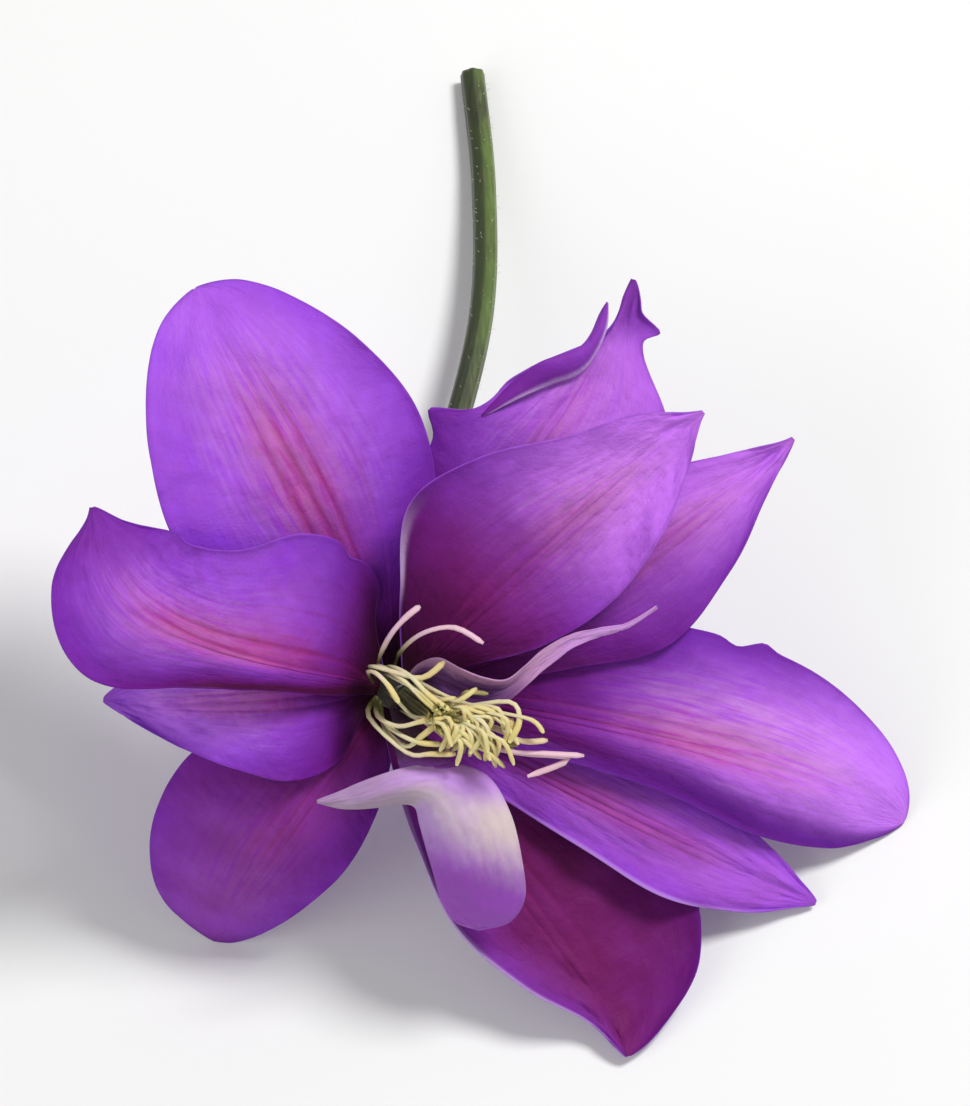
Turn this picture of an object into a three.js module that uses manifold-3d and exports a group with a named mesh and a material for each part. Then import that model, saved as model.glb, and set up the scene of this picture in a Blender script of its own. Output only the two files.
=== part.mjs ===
// One clematis flower, as picked: a large semi-double bloom on a short cut stem, lying on a table.
// It rests on the turned-down ends of its lower petals and on the cut end of its stem.
// Millimetres and degrees. +Z is up and +Y runs along the stem, away from the face of the bloom.
//
// The bloom is drawn in its face frame: x to the right, y up the face and z out of it, with the
// foot of the bloom at 0, 0, 0. The whole bloom is then tipped back and stood on the table.

import * as THREE from 'three';
import { mergeVertices } from 'three/addons/utils/BufferGeometryUtils.js';
import Module from 'manifold-3d';

const wasm = await Module();
wasm.setup();

// ---- How the flower lies
const FACE_TIP = 25; // the face leans this far up from looking straight at the sky
const BLOOM_AT = [-13.9, -31.7, 27.2]; // foot of the bloom above the middle of the part's footprint
const LEAN = [0.283, -0.136]; // the bloom's own axis leans this much in x and y for each mm of z

// ---- The foot of the bloom, measured along its own axis
const COLUMN_RADIUS = 2.6; // the part of the receptacle that the petals grow from
const SEAT_GAP = 0.4; // between the receptacle and each piece seated on it
const LEVEL_STEP = 1.25; // height from one petal's root to the next one up
const COLLAR = { low: 7, high: 8.4, inner: 1.85, outer: 2.75 }; // ring the stamens grow from
const PIN_RADIUS = 1.5; // thinner top of the receptacle, inside the ring
const PIN_TOP = 8.5;

// ---- Petals
const BLADE = 0.62; // thickness
const CLAW = 2.8; // width of a petal's root
const TIP_WIDTH = 0.7;

// Each petal is drawn round its midrib, a curve in the face frame: azimuth of its root, the reach
// over which it keeps that way, the point it bends towards and its tip. Left and right are its half
// widths at seven places from root to tip. Heights, from its root up the bloom's axis: rise of the
// midrib at the root, quarters and tip, and how much higher its left and right edges are at the
// root, thirds and tip. Last come the height, number and phase of the waves of its edge.
const PETALS = {
  petal_outer_lower_middle: {
    azimuth: 295, level: 0, reach: 16, bend: [28, -37], tip: [32.5, -50.5],
    left: [2, 6.2, 10.7, 14.8, 16.8, 12, 4.5], right: [2.1, 4.5, 8.6, 11.5, 9.2, 4, 1.4],
    rise: [0, 5, 6, 7, 10], leftEdge: [-0.3, -1.5, -0.6, 2], rightEdge: [0, 0.5, 2.5, 1],
    wave: 0.5, waves: 2.5, phase: 0.4,
  },
  petal_outer_lower_left: {
    azimuth: 234, level: 0, reach: 14, bend: [-19, -25], tip: [-24.5, -35],
    left: [2.3, 5.9, 9.1, 10.1, 8.6, 6, 3], right: [3.6, 7.5, 13, 15.4, 14.4, 11, 6.5],
    rise: [0, 3.9, 3.4, -2.5, -12.8], leftEdge: [0, -1, -2, -2.5], rightEdge: [-0.2, -1.5, -2.6, -2.5],
    wave: 0.4, waves: 2, phase: 1.3,
  },
  petal_outer_lower_right: {
    azimuth: 328, level: 1, reach: 18, bend: [40, -22], tip: [58.4, -30],
    left: [3, 6, 8.3, 8.8, 7.5, 4.6, 1.6], right: [2.7, 5, 6.2, 7, 7.3, 5, 1.7],
    rise: [0, 6.4, 7.5, 6.4, 4.1], leftEdge: [-0.3, -1, -1.1, 0], rightEdge: [0, 0, 1, 1],
    wave: 0.4, waves: 2.5, phase: 2.2,
  },
  petal_outer_left: {
    azimuth: 185, level: 1, reach: 14, bend: [-27, -3], tip: [-38.5, -1.8],
    left: [3.2, 9.5, 11.2, 9, 6, 3, 1], right: [3.4, 7, 9, 9.2, 8, 5, 1.7],
    rise: [0, 5.8, 5.3, 1, -5], leftEdge: [0.3, 0.8, 0.5, 0], rightEdge: [0, -1.8, -2.6, -1],
    wave: 0.4, waves: 2.5, phase: 0,
  },
  petal_outer_top: {
    azimuth: 62, level: 1, reach: 20, bend: [27, 38], tip: [33, 55],
    left: [3, 6.2, 10.8, 13.5, 8.6, 2.8, 1.1], right: [1.9, 5.4, 8.9, 11.5, 11.4, 5, 1.9],
    rise: [0, 6.1, 6.9, 5.7, 2.9], leftEdge: [-0.2, -2, 0.8, 1.5], rightEdge: [0, -0.5, -1, 1.5],
    wave: 0.6, waves: 2.5, phase: 3,
  },
  petal_outer_upper_left: {
    azimuth: 108, level: 2, reach: 20, bend: [-17, 38], tip: [-26, 53.5],
    left: [3.5, 8.5, 15.1, 19.2, 17, 12, 6.5], right: [2.1, 7.7, 14.8, 18.6, 17, 11.8, 6],
    rise: [0, 6.15, 6.3, 2.8, -3.7], leftEdge: [0, -1.3, -1.8, -1], rightEdge: [0, 0.5, -1, -1.5],
    wave: 0.6, waves: 2.5, phase: 1,
  },
  petal_inner_right: {
    azimuth: 352, level: 2, reach: 22, bend: [55, -10], tip: [70.8, -19],
    left: [4.2, 9.2, 13.8, 15.5, 14.4, 10.1, 5], right: [2.8, 5, 5.8, 7.2, 9.5, 8, 3.6],
    rise: [0, 7.2, 8.9, 6.6, 2.1], leftEdge: [0, 0, -2, -2.5], rightEdge: [1, 0.9, -1.4, -2.5],
    wave: 0.6, waves: 2.5, phase: 2.4,
  },
  petal_outer_upper_right: {
    azimuth: 22, level: 3, reach: 20, bend: [42, 22], tip: [55, 33.6],
    left: [4, 7, 10.1, 11, 9, 4.9, 1.4], right: [1.9, 4, 7.6, 11.4, 7.8, 3, 1],
    rise: [0, 6.9, 8.3, 5.3, 0.1], leftEdge: [0, -0.5, 0, 1], rightEdge: [0, 0, 1, 1.5],
    wave: 0.5, waves: 2, phase: 0.5,
  },
  petal_inner_left: {
    azimuth: 165, level: 3, reach: 14, bend: [-37, 5], tip: [-39.5, 24.1],
    left: [1.7, 2.8, 3.8, 6.3, 10.5, 8, 2.2], right: [4.5, 15, 17.4, 14.1, 11.4, 9, 4],
    rise: [0, 9.1, 10.2, 6.8, 0.6], leftEdge: [0, 0, -1, -1], rightEdge: [1.1, 2.1, 1, -0.4],
    wave: 0.7, waves: 2.5, phase: 0.9,
  },
  petal_inner_upper_right: {
    azimuth: 48, level: 4, reach: 16, bend: [30, 27], tip: [42, 37.3],
    left: [3.4, 8.8, 13.8, 13.6, 9.8, 6.6, 1.9], right: [1.9, 5, 9.6, 11.6, 9.6, 5.2, 1.3],
    rise: [0, 7.2, 9.2, 11.6, 14.1], leftEdge: [1, 3, 3, 1], rightEdge: [0, 2.4, 3, 1],
    wave: 0.7, waves: 2.5, phase: 2,
  },
};

// The two small petal-like stamens of the double bloom.
const PETALOIDS = {
  petaloid_lower: {
    azimuth: 285, level: 5, reach: 9, bend: [11.5, -22], tip: [12.3, -32.4],
    left: [1.3, 2.8, 5.3, 6.9, 7.4, 6.6, 3.6], right: [2.2, 3, 4.2, 4.2, 4.2, 4.1, 2.3],
    rise: [0, 6.5, 10.5, 9.8, 6], leftEdge: [0, -1, -1.5, -1.5], rightEdge: [0, -1, -1.5, -1.5],
    wave: 0.2, waves: 2, phase: 0,
  },
  petaloid_right: {
    azimuth: 8, level: 5, reach: 8, bend: [21, 0], tip: [36, 10.8],
    left: [1.5, 3.6, 3.4, 1.9, 1.5, 1.1, 0.5], right: [1.3, 1.9, 2.6, 1.5, 0.9, 0.7, 0.4],
    rise: [0, 7.5, 11, 13.5, 16], leftEdge: [0, 2, 1, 0], rightEdge: [0, 1.5, 0, 0],
    wave: 0, waves: 2, phase: 1,
  },
};
// The pointed side lobe of the lower petaloid.
const SIDE_LOBE = {
  azimuth: 275, level: 5, reach: 8, bend: [1, -14.5], tip: [-9.9, -15.6],
  left: [1.5, 2, 2, 1.8, 1.5, 1.1, 0.6], right: [1.5, 2, 2, 1.7, 1.4, 1, 0.5],
  rise: [0, 6, 9, 8.7, 7], leftEdge: [0, 0, 0, 0], rightEdge: [0, 0, 0, 0],
  wave: 0, waves: 1, phase: 0,
};

// ---- Stamens and pistil
const STAMENS = 34;
const STAMEN_RADIUS = 0.42;
const STYLES = 13;
const STYLE_RADIUS = 0.36;
const TUFT_LEAN = [0.3, -0.19]; // further lean of the tuft in x and y for each mm of height

// ---- Stem
const STEM_RADIUS = 1.75;
const STEM_SIDES = 10;

const rad = THREE.MathUtils.degToRad;
const smooth = THREE.MathUtils.smoothstep;
const mix = THREE.MathUtils.lerp;

// A fixed sequence of random numbers from 0 to 1.
function randomFrom(seed) {
  let state = seed;
  return () => {
    state = (state + 0x6d2b79f5) | 0;
    let t = Math.imul(state ^ (state >>> 15), 1 | state);
    t = (t + Math.imul(t ^ (t >>> 7), 61 | t)) ^ t;
    return ((t ^ (t >>> 14)) >>> 0) / 4294967296;
  };
}

// Height in z of the plane across the bloom's own axis.
const crossPlane = (x, y) => -LEAN[0] * x - LEAN[1] * y;

// A point at a radius and azimuth round the bloom's axis, at a height above its foot.
function roundAxis(azimuth, radius, height) {
  const x = radius * Math.cos(rad(azimuth));
  const y = radius * Math.sin(rad(azimuth));
  return new THREE.Vector3(x + LEAN[0] * height, y + LEAN[1] * height, crossPlane(x, y) + height);
}

// A smooth curve through evenly spaced values, read at a share of its length.
function through(values, share) {
  const last = values.length - 1;
  const place = Math.min(last - 1e-9, Math.max(0, share * last));
  const i = Math.floor(place);
  const t = place - i;
  const [before, from, to, after] = [-1, 0, 1, 2].map((k) => values[Math.min(last, Math.max(0, i + k))]);
  const leave = (to - before) / 2;
  const arrive = (after - from) / 2;
  const bow = t * (1 - t) * (leave * (1 - t) - arrive * t + (to - from) * (2 * t - 1));
  return from + (to - from) * t + bow;
}

// ---- One petal's middle surface. step runs 0 to 1 from root to tip, close together at both ends,
// and across runs -1 to 1 from its right edge to its left edge.
function petalPoint(petal, step, across) {
  const rootHeight = petal.level * LEVEL_STEP;
  const root = roundAxis(petal.azimuth, COLUMN_RADIUS + SEAT_GAP, rootHeight);
  const out = new THREE.Vector2(Math.cos(rad(petal.azimuth)), Math.sin(rad(petal.azimuth)));
  const start = new THREE.Vector2(root.x, root.y);
  const turn = start.clone().addScaledVector(out, petal.reach);
  const ends = [new THREE.Vector2(...petal.bend), new THREE.Vector2(...petal.tip)];
  const midrib = new THREE.CubicBezierCurve(start, turn, ...ends);
  const along = (1 - Math.cos(Math.PI * step)) / 2;
  const middle = midrib.getPoint(along);
  const way = midrib.getTangent(along);

  const side = across > 0 ? petal.left : petal.right;
  const halfWidth = through([CLAW / 2, ...side, TIP_WIDTH / 2], step);
  const x = middle.x - way.y * across * halfWidth;
  const y = middle.y + way.x * across * halfWidth;

  const rise = through(petal.rise, along);
  const edge = through(across > 0 ? petal.leftEdge : petal.rightEdge, along) * across ** 2;
  const offset = across > 0 ? 0 : 1.7;
  const swing = Math.sin(2 * Math.PI * petal.waves * along + petal.phase + offset);
  const fade = smooth(along, 0.25, 0.6) * smooth(1 - along, 0, 0.2);
  const wave = petal.wave * Math.abs(across) ** 3 * fade * swing;
  return new THREE.Vector3(x, y, crossPlane(x, y) + rootHeight + rise + edge + wave);
}

// ---- A closed blade of even thickness on both sides of a surface read from 0 to 1 lengthways and
// from -1 to 1 sideways. Both faces are split into triangles the same way.
function bladeGeometry(surface, lengthCells, widthCells, thickness) {
  const rows = lengthCells + 1;
  const columns = widthCells + 1;
  const points = [];
  for (let i = 0; i < rows; i++) {
    for (let j = 0; j < columns; j++) points.push(surface(i / lengthCells, (2 * j) / widthCells - 1));
  }
  const at = (i, j) => points[i * columns + j];
  const positions = [];
  for (const side of [1, -1]) {
    for (let i = 0; i < rows; i++) {
      for (let j = 0; j < columns; j++) {
        const lengthways = at(Math.min(i + 1, lengthCells), j).clone().sub(at(Math.max(i - 1, 0), j));
        const sideways = at(i, Math.min(j + 1, widthCells)).clone().sub(at(i, Math.max(j - 1, 0)));
        const normal = lengthways.cross(sideways).normalize();
        const p = at(i, j).clone().addScaledVector(normal, (side * thickness) / 2);
        positions.push(p.x, p.y, p.z);
      }
    }
  }
  const front = (i, j) => i * columns + j;
  const back = (i, j) => rows * columns + front(i, j);
  const triangles = [];
  for (let i = 0; i < lengthCells; i++) {
    for (let j = 0; j < widthCells; j++) {
      const cell = [[i, j], [i + 1, j], [i + 1, j + 1], [i, j + 1]];
      const [a, b, c, d] = cell.map(([r, s]) => front(r, s));
      const [e, f, g, h] = cell.map(([r, s]) => back(r, s));
      triangles.push(a, b, c, a, c, d, e, g, f, e, h, g);
    }
  }
  const wall = (p, q) => triangles.push(front(...p), back(...p), back(...q), front(...p), back(...q), front(...q));
  for (let i = 0; i < lengthCells; i++) {
    wall([i, 0], [i + 1, 0]);
    wall([i + 1, widthCells], [i, widthCells]);
  }
  for (let j = 0; j < widthCells; j++) {
    wall([0, j + 1], [0, j]);
    wall([lengthCells, j], [lengthCells, j + 1]);
  }
  const geometry = new THREE.BufferGeometry();
  geometry.setAttribute('position', new THREE.Float32BufferAttribute(positions, 3));
  geometry.setIndex(triangles);
  return geometry;
}

// ---- A closed round bar along a curve, with a radius for each share of its length.
function barGeometry(curve, radiusAt, steps, sides) {
  const frames = curve.computeFrenetFrames(steps, false);
  const positions = [];
  for (let i = 0; i <= steps; i++) {
    const centre = curve.getPointAt(i / steps);
    for (let k = 0; k < sides; k++) {
      const turn = (2 * Math.PI * k) / sides;
      const p = centre
        .clone()
        .addScaledVector(frames.normals[i], radiusAt(i / steps) * Math.cos(turn))
        .addScaledVector(frames.binormals[i], radiusAt(i / steps) * Math.sin(turn));
      positions.push(p.x, p.y, p.z);
    }
  }
  const ends = [curve.getPointAt(0), curve.getPointAt(1)];
  for (const end of ends) positions.push(end.x, end.y, end.z);
  const triangles = [];
  const foot = (steps + 1) * sides;
  for (let k = 0; k < sides; k++) {
    const next = (k + 1) % sides;
    for (let i = 0; i < steps; i++) {
      const a = i * sides + k;
      const b = i * sides + next;
      triangles.push(a, b, b + sides, a, b + sides, a + sides);
    }
    triangles.push(foot, next, k, foot + 1, steps * sides + k, steps * sides + next);
  }
  const geometry = new THREE.BufferGeometry();
  geometry.setAttribute('position', new THREE.Float32BufferAttribute(positions, 3));
  geometry.setIndex(triangles);
  return geometry;
}

// ---- Joining closed geometries into one solid
function solidOf(geometry) {
  const bare = geometry.clone();
  bare.deleteAttribute('normal');
  bare.deleteAttribute('uv');
  const merged = mergeVertices(bare, 1e-4);
  return new wasm.Manifold(
    new wasm.Mesh({
      numProp: 3,
      vertProperties: new Float32Array(merged.attributes.position.array),
      triVerts: new Uint32Array(merged.index.array),
    }),
  );
}

function joined(geometries) {
  const whole = geometries.map(solidOf).reduce((sum, solid) => sum.add(solid));
  const mesh = whole.getMesh();
  const geometry = new THREE.BufferGeometry();
  geometry.setAttribute('position', new THREE.BufferAttribute(new Float32Array(mesh.vertProperties), 3));
  geometry.setIndex(new THREE.BufferAttribute(new Uint32Array(mesh.triVerts), 1));
  return geometry;
}

// A ring or a disc turned about the bloom's axis, from radius and height pairs.
function turnedOnAxis(profile, sides) {
  const geometry = new THREE.LatheGeometry(profile.map(([r, h]) => new THREE.Vector2(r, h)), sides);
  const axis = new THREE.Vector3(LEAN[0], LEAN[1], 1).normalize();
  geometry.applyQuaternion(new THREE.Quaternion().setFromUnitVectors(new THREE.Vector3(0, 1, 0), axis));
  return geometry;
}

// ---- Centre line of the tuft of stamens, which bends away from the bloom's axis as it rises
function tuftPoint(height, radius, azimuth) {
  const above = Math.max(0, height - COLLAR.high);
  const p = roundAxis(azimuth, radius, height);
  p.x += TUFT_LEAN[0] * above * smooth(above, -2, 8);
  p.y += TUFT_LEAN[1] * above * smooth(above, -2, 8);
  return p;
}

// How far the stamens open at an azimuth: little where they stand in front of a petaloid.
function openness(azimuth) {
  const near = (centre, width) => {
    const apart = Math.abs(((azimuth - centre + 540) % 360) - 180);
    return Math.exp(-((apart / width) ** 2));
  };
  return 1 - 0.85 * near(PETALOIDS.petaloid_lower.azimuth, 30) - 0.85 * near(PETALOIDS.petaloid_right.azimuth, 40);
}

function stamenRing() {
  const random = randomFrom(7);
  const { low, high, inner, outer } = COLLAR;
  const pieces = [turnedOnAxis([[inner, low], [outer, low], [outer - 0.1, high], [inner, high], [inner, low]], 20)];
  for (let n = 0; n < STAMENS; n++) {
    const azimuth = (360 * n) / STAMENS + 8 * (random() - 0.5);
    const open = Math.max(0.1, openness(azimuth));
    const outerRow = n % 2;
    const rise = mix(10, outerRow ? 5 : 8.5, open) + 2.5 * random();
    const spread = open * (outerRow ? 6.5 + 3 * random() : 2.2 + 2 * random());
    const crook = (random() - 0.5) * 40 * open;
    const hook = (1 + 1.5 * random()) * open;
    const root = (inner + outer) / 2;
    const path = new THREE.CatmullRomCurve3([
      tuftPoint(low + 0.5, root, azimuth),
      tuftPoint(high + rise * 0.35, root + spread * 0.2, azimuth),
      tuftPoint(high + rise * 0.75, root + spread * 0.65, azimuth + crook * 0.3),
      tuftPoint(high + rise, root + spread, azimuth + crook * 0.6),
      tuftPoint(high + rise + hook * 0.6, root + spread + hook, azimuth + crook),
    ]);
    pieces.push(barGeometry(path, (s) => STAMEN_RADIUS * (s > 0.9 ? 0.75 : 1), 5, 4));
  }
  return joined(pieces);
}

function pistilTuft() {
  const random = randomFrom(23);
  const low = PIN_TOP + SEAT_GAP;
  const pieces = [turnedOnAxis([[0, low], [1.45, low], [1.3, low + 1.6], [0, low + 2.2]], 12)];
  for (let n = 0; n < STYLES; n++) {
    const azimuth = 137.5 * n;
    const radius = 1.15 * Math.sqrt(n / STYLES);
    const length = 7.5 + 1.5 * random();
    const path = new THREE.CatmullRomCurve3([
      tuftPoint(low + 0.6, radius * 0.8, azimuth),
      tuftPoint(low + length * 0.5, radius, azimuth),
      tuftPoint(low + length, radius * 1.1, azimuth + 20),
    ]);
    pieces.push(barGeometry(path, (s) => STYLE_RADIUS * (1 - 0.4 * s), 3, 4));
  }
  return joined(pieces);
}

// ---- Stem and receptacle: one bar from the cut end to the top of the pin, in the table frame
function stemGeometry(toTable) {
  const axisPoint = (height) => roundAxis(0, 0, height).applyMatrix4(toTable);
  const foot = axisPoint(-1);
  const neck = axisPoint(-5);
  const lying = STEM_ROUTE.map(([x, y, z]) => new THREE.Vector3(BLOOM_AT[0] + x, BLOOM_AT[1] + y, z));
  const stem = new THREE.CatmullRomCurve3([...lying, neck, foot], false, 'centripetal');
  const steps = 26;
  const thickening = (s) => STEM_RADIUS + (COLUMN_RADIUS - STEM_RADIUS) * smooth(s, 0.93, 1) ** 1.5;
  const bar = barGeometry(stem, thickening, steps, STEM_SIDES);
  const knob = turnedOnAxis(
    [
      [0, -1.4],
      [COLUMN_RADIUS, -1.2],
      [COLUMN_RADIUS, COLLAR.low - SEAT_GAP],
      [PIN_RADIUS, COLLAR.low - SEAT_GAP],
      [PIN_RADIUS, PIN_TOP],
      [0, PIN_TOP],
    ],
    16,
  ).applyMatrix4(toTable);
  return joined([bar, knob]);
}

// Middle line of the stem, from the cut end towards the bloom: x and y from the foot of the bloom
// and z above the table.
const STEM_ROUTE = [
  [11.2, 107.4, 1.8],
  [12.8, 88.9, 3.5],
  [12.4, 66, 7],
  [6.4, 38, 12],
  [1.2, 21, 15.4],
  [-1.6, 9.5, 18.4],
];

// ---- Materials
const finish = (color, roughness) => new THREE.MeshStandardMaterial({ color, roughness, metalness: 0 });
const PETAL = finish(0x8f3fd0, 0.55);
const PETALOID = finish(0xcaa8dc, 0.55);
const STAMEN = finish(0xe9e0a0, 0.6);
const PISTIL = finish(0xb4b45a, 0.6);
const STEM = finish(0x6f8a35, 0.6);

// ---- The flower
const flower = new THREE.Group();
const bloom = new THREE.Group();
bloom.position.set(...BLOOM_AT);
bloom.rotation.x = rad(FACE_TIP);
bloom.updateMatrix();
flower.add(bloom);

function addNode(group, name, geometry, material) {
  const mesh = new THREE.Mesh(geometry, material);
  mesh.name = name;
  group.add(mesh);
}

const LENGTH_CELLS = 14;
const WIDTH_CELLS = 8;
for (const [name, petal] of Object.entries(PETALS)) {
  const surface = (step, across) => petalPoint(petal, step, across);
  addNode(bloom, name, bladeGeometry(surface, LENGTH_CELLS, WIDTH_CELLS, BLADE), PETAL);
}
const petaloidBlade = (shape) => bladeGeometry((step, across) => petalPoint(shape, step, across), 12, 4, BLADE);
addNode(bloom, 'petaloid_lower', joined([PETALOIDS.petaloid_lower, SIDE_LOBE].map(petaloidBlade)), PETALOID);
addNode(bloom, 'petaloid_right', petaloidBlade(PETALOIDS.petaloid_right), PETALOID);
addNode(bloom, 'stamens', stamenRing(), STAMEN);
addNode(bloom, 'pistil', pistilTuft(), PISTIL);
addNode(flower, 'stem', stemGeometry(bloom.matrix), STEM);

export default flower;
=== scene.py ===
# %% [markdown]
# # A clematis flower
# One large semi-double clematis bloom on a short cut stem, picked and laid on a table. Its foot
# is tipped back, so that it looks up and towards the camera, and it rests on the turned-down ends
# of three petals and on the cut end of its stem. Ten broad petals grow from the foot in layers.
# Two stamens have turned into small pale petals, and the tuft of stamens leans out between them.
#
# This first cell loads the fixed solid model and bakes each piece's place into its mesh. The
# dressed flower has to stay inside it.

import bpy
import numpy as np
from mathutils import Matrix


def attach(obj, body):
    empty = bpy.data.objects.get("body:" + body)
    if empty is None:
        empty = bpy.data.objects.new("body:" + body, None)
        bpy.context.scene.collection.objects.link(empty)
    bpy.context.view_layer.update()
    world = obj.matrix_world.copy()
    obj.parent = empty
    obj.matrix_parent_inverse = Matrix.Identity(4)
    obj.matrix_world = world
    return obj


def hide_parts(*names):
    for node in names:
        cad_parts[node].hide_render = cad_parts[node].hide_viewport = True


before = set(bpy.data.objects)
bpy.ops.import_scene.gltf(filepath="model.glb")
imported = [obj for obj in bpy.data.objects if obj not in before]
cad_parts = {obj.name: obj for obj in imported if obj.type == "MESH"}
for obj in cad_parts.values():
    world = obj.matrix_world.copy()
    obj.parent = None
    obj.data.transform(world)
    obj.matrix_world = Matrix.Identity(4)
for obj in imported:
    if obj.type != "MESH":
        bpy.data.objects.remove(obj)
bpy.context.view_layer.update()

# %% [markdown]
# ## Two frames
# A petal is easiest to describe looking straight at the bloom: x to the right, y up, z towards
# the eye, in millimetres from the foot of the bloom. The flower on the table is the same thing
# turned back about x and lifted. So each shape is worked out in this face frame, and one function
# carries it to the table. The bloom's own axis leans a little in the face frame, because the
# bloom looks slightly right and down.

# %% The face frame and the table frame
MM = 0.001
FACE_TIP = np.radians(25)  # the face looks up, this far tipped towards -y
BLOOM_AT = np.array([-13.9, -31.7, 27.2])  # foot of the bloom on the table, mm
LEAN = np.array([0.283, -0.136])  # x and y of the bloom's axis per mm of height, in the face frame


def to_table(points):
    """Turn points about x by the face's tip (y' = y cos - z sin, z' = y sin + z cos), then add the foot."""
    x, y, z = np.moveaxis(np.asarray(points, float), -1, 0)
    c, s = np.cos(FACE_TIP), np.sin(FACE_TIP)
    return np.stack([x, c * y - s * z, s * y + c * z], -1) + BLOOM_AT


def across_plane(x, y):
    """Height of the plane across the bloom's axis: z = -(lean_x x + lean_y y)."""
    return -LEAN[0] * x - LEAN[1] * y


def round_axis(azimuth, radius, height):
    """A point at an azimuth in degrees and a radius round the bloom's axis, at a height up it."""
    azimuth, radius, height = np.broadcast_arrays(np.radians(azimuth), radius, height)
    x, y = radius * np.cos(azimuth), radius * np.sin(azimuth)
    z = across_plane(x, y) + height
    return np.stack([x + LEAN[0] * height, y + LEAN[1] * height, z], -1)


print("foot of the bloom at", (BLOOM_AT * MM).tolist())


# %% [markdown]
# ## Small tools for shapes
# Most numbers below are given at a few even places along a piece, such as a petal's half width at
# its seven stations. `through` draws a smooth curve through them (a Catmull-Rom curve), so a few
# numbers make a living outline. `smooth` is the usual soft step from 0 to 1. `places` gives every
# point of a grid its place along and across, and `ripple` adds the unevenness of living things.

# %% Curves through a few values
def through(values, share):
    """Catmull-Rom curve through evenly spaced values, read at a share of its length from 0 to 1."""
    values = np.asarray(values, float)
    last = len(values) - 1
    place = np.clip(np.asarray(share, float) * last, 0, last - 1e-9)
    i = place.astype(int)
    t = place - i
    if values.ndim > 1:
        t = t[..., None]
    before, start, end, after = (values[np.clip(i + k, 0, last)] for k in (-1, 0, 1, 2))
    leave, arrive = (end - before) / 2, (after - start) / 2
    bow = leave * (1 - t) - arrive * t + (end - start) * (2 * t - 1)
    return start + (end - start) * t + t * (1 - t) * bow


def smooth_paths(paths, steps):
    """Each path's own curve through its points, at even shares of its length."""
    return np.stack([through(path, np.linspace(0, 1, steps)) for path in paths])


def smooth(low, high, x):
    """0 below low, 1 above high, and 3t^2 - 2t^3 between."""
    t = np.clip((x - low) / (high - low), 0, 1)
    return t * t * (3 - 2 * t)


def places(rows, columns, first, last):
    """Place along, 0 to 1 down the rows, and place across, first to last over the columns."""
    return np.meshgrid(np.linspace(0, 1, rows), np.linspace(first, last, columns), indexing="ij")


def unit(vectors):
    """Vectors divided by their own lengths."""
    return vectors / np.maximum(np.linalg.norm(vectors, axis=-1, keepdims=True), 1e-9)


def ripple(x, y, seed, size, kinds=7):
    """Soft uneven ripple from about -1 to 1: a sum of sine waves of random direction and phase, with
    wavelengths near size."""
    random = np.random.default_rng(seed)
    turn = random.uniform(0, np.pi, kinds)
    length = size * random.uniform(0.7, 1.6, kinds)
    phase = random.uniform(0, 2 * np.pi, kinds)
    waves = (
        np.sin(2 * np.pi * (x * np.cos(t) + y * np.sin(t)) / w + p) for t, w, p in zip(turn, length, phase)
    )
    return sum(waves) / np.sqrt(kinds)


# %% [markdown]
# ## From grids to meshes
# Every surface here is a grid of points. `blade` gives a grid a thickness: it moves it half the
# thickness each way along its normals and closes the rim, which suits petals. `tubes` carries a
# ring along many paths at once and closes both ends, which suits stamens, styles, stem and hairs.
# Values that a material needs, such as the place along and across a petal, are kept on the points.

# %% Grids to closed meshes
def make_piece(name, points, faces, values, replaced):
    """Put points in mm, as they lie on the table, into a smooth mesh piece that rides on the part."""
    mesh = bpy.data.meshes.new(name)
    mesh.from_pydata((np.asarray(points) * MM).tolist(), [], faces)
    mesh.polygons.foreach_set("use_smooth", np.ones(len(mesh.polygons), bool))
    for key, array in values.items():
        layer = mesh.attributes.new(key, "FLOAT", "POINT")
        layer.data.foreach_set("value", np.ravel(array).astype(np.float32))
    mesh.update()
    piece = bpy.data.objects.new("living_" + name, mesh)
    bpy.context.scene.collection.objects.link(piece)
    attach(piece, "root")
    if replaced:
        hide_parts(replaced)
    print(f"{name}: {len(mesh.vertices)} points, {len(mesh.polygons)} faces")
    return piece


def grid_quads(rows, columns, start=0, around=False):
    """Corner numbers of the quads of a grid, optionally closed round its columns."""
    i = np.arange(rows - 1)[:, None]
    j = np.arange(columns if around else columns - 1)[None, :]
    k = (j + 1) % columns
    corners = [i * columns + j, (i + 1) * columns + j, (i + 1) * columns + k, i * columns + k]
    return start + np.stack([np.broadcast_to(c, (rows - 1, j.size)) for c in corners], -1).reshape(-1, 4)


def normals_of(grid):
    """Unit normals of a grid of points: cross product of its differences along and across."""
    return unit(np.cross(np.gradient(grid, axis=0), np.gradient(grid, axis=1)))


def blade(middle, thickness, values):
    """Front = middle + n t/2 and back = middle - n t/2, joined round the rim. Returns its points and
    faces, and the values kept on its points."""
    rows, columns = middle.shape[:2]
    offset = normals_of(middle) * thickness[..., None] / 2
    points = np.concatenate([(middle + offset).reshape(-1, 3), (middle - offset).reshape(-1, 3)])
    front = grid_quads(rows, columns)
    back = grid_quads(rows, columns, rows * columns)[:, ::-1]
    number = np.arange(rows * columns).reshape(rows, columns)
    edge = np.concatenate([number[:, 0], number[-1, 1:], number[-2::-1, -1], number[0, -2:0:-1]])
    ahead = np.roll(edge, -1)
    rim = np.stack([ahead, edge, edge + rows * columns, ahead + rows * columns], -1)
    both = {key: np.concatenate([np.ravel(value)] * 2) for key, value in values.items()}
    both["back"] = np.repeat([0.0, 1.0], rows * columns)
    return points, np.concatenate([front, back, rim]).tolist(), both


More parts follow.
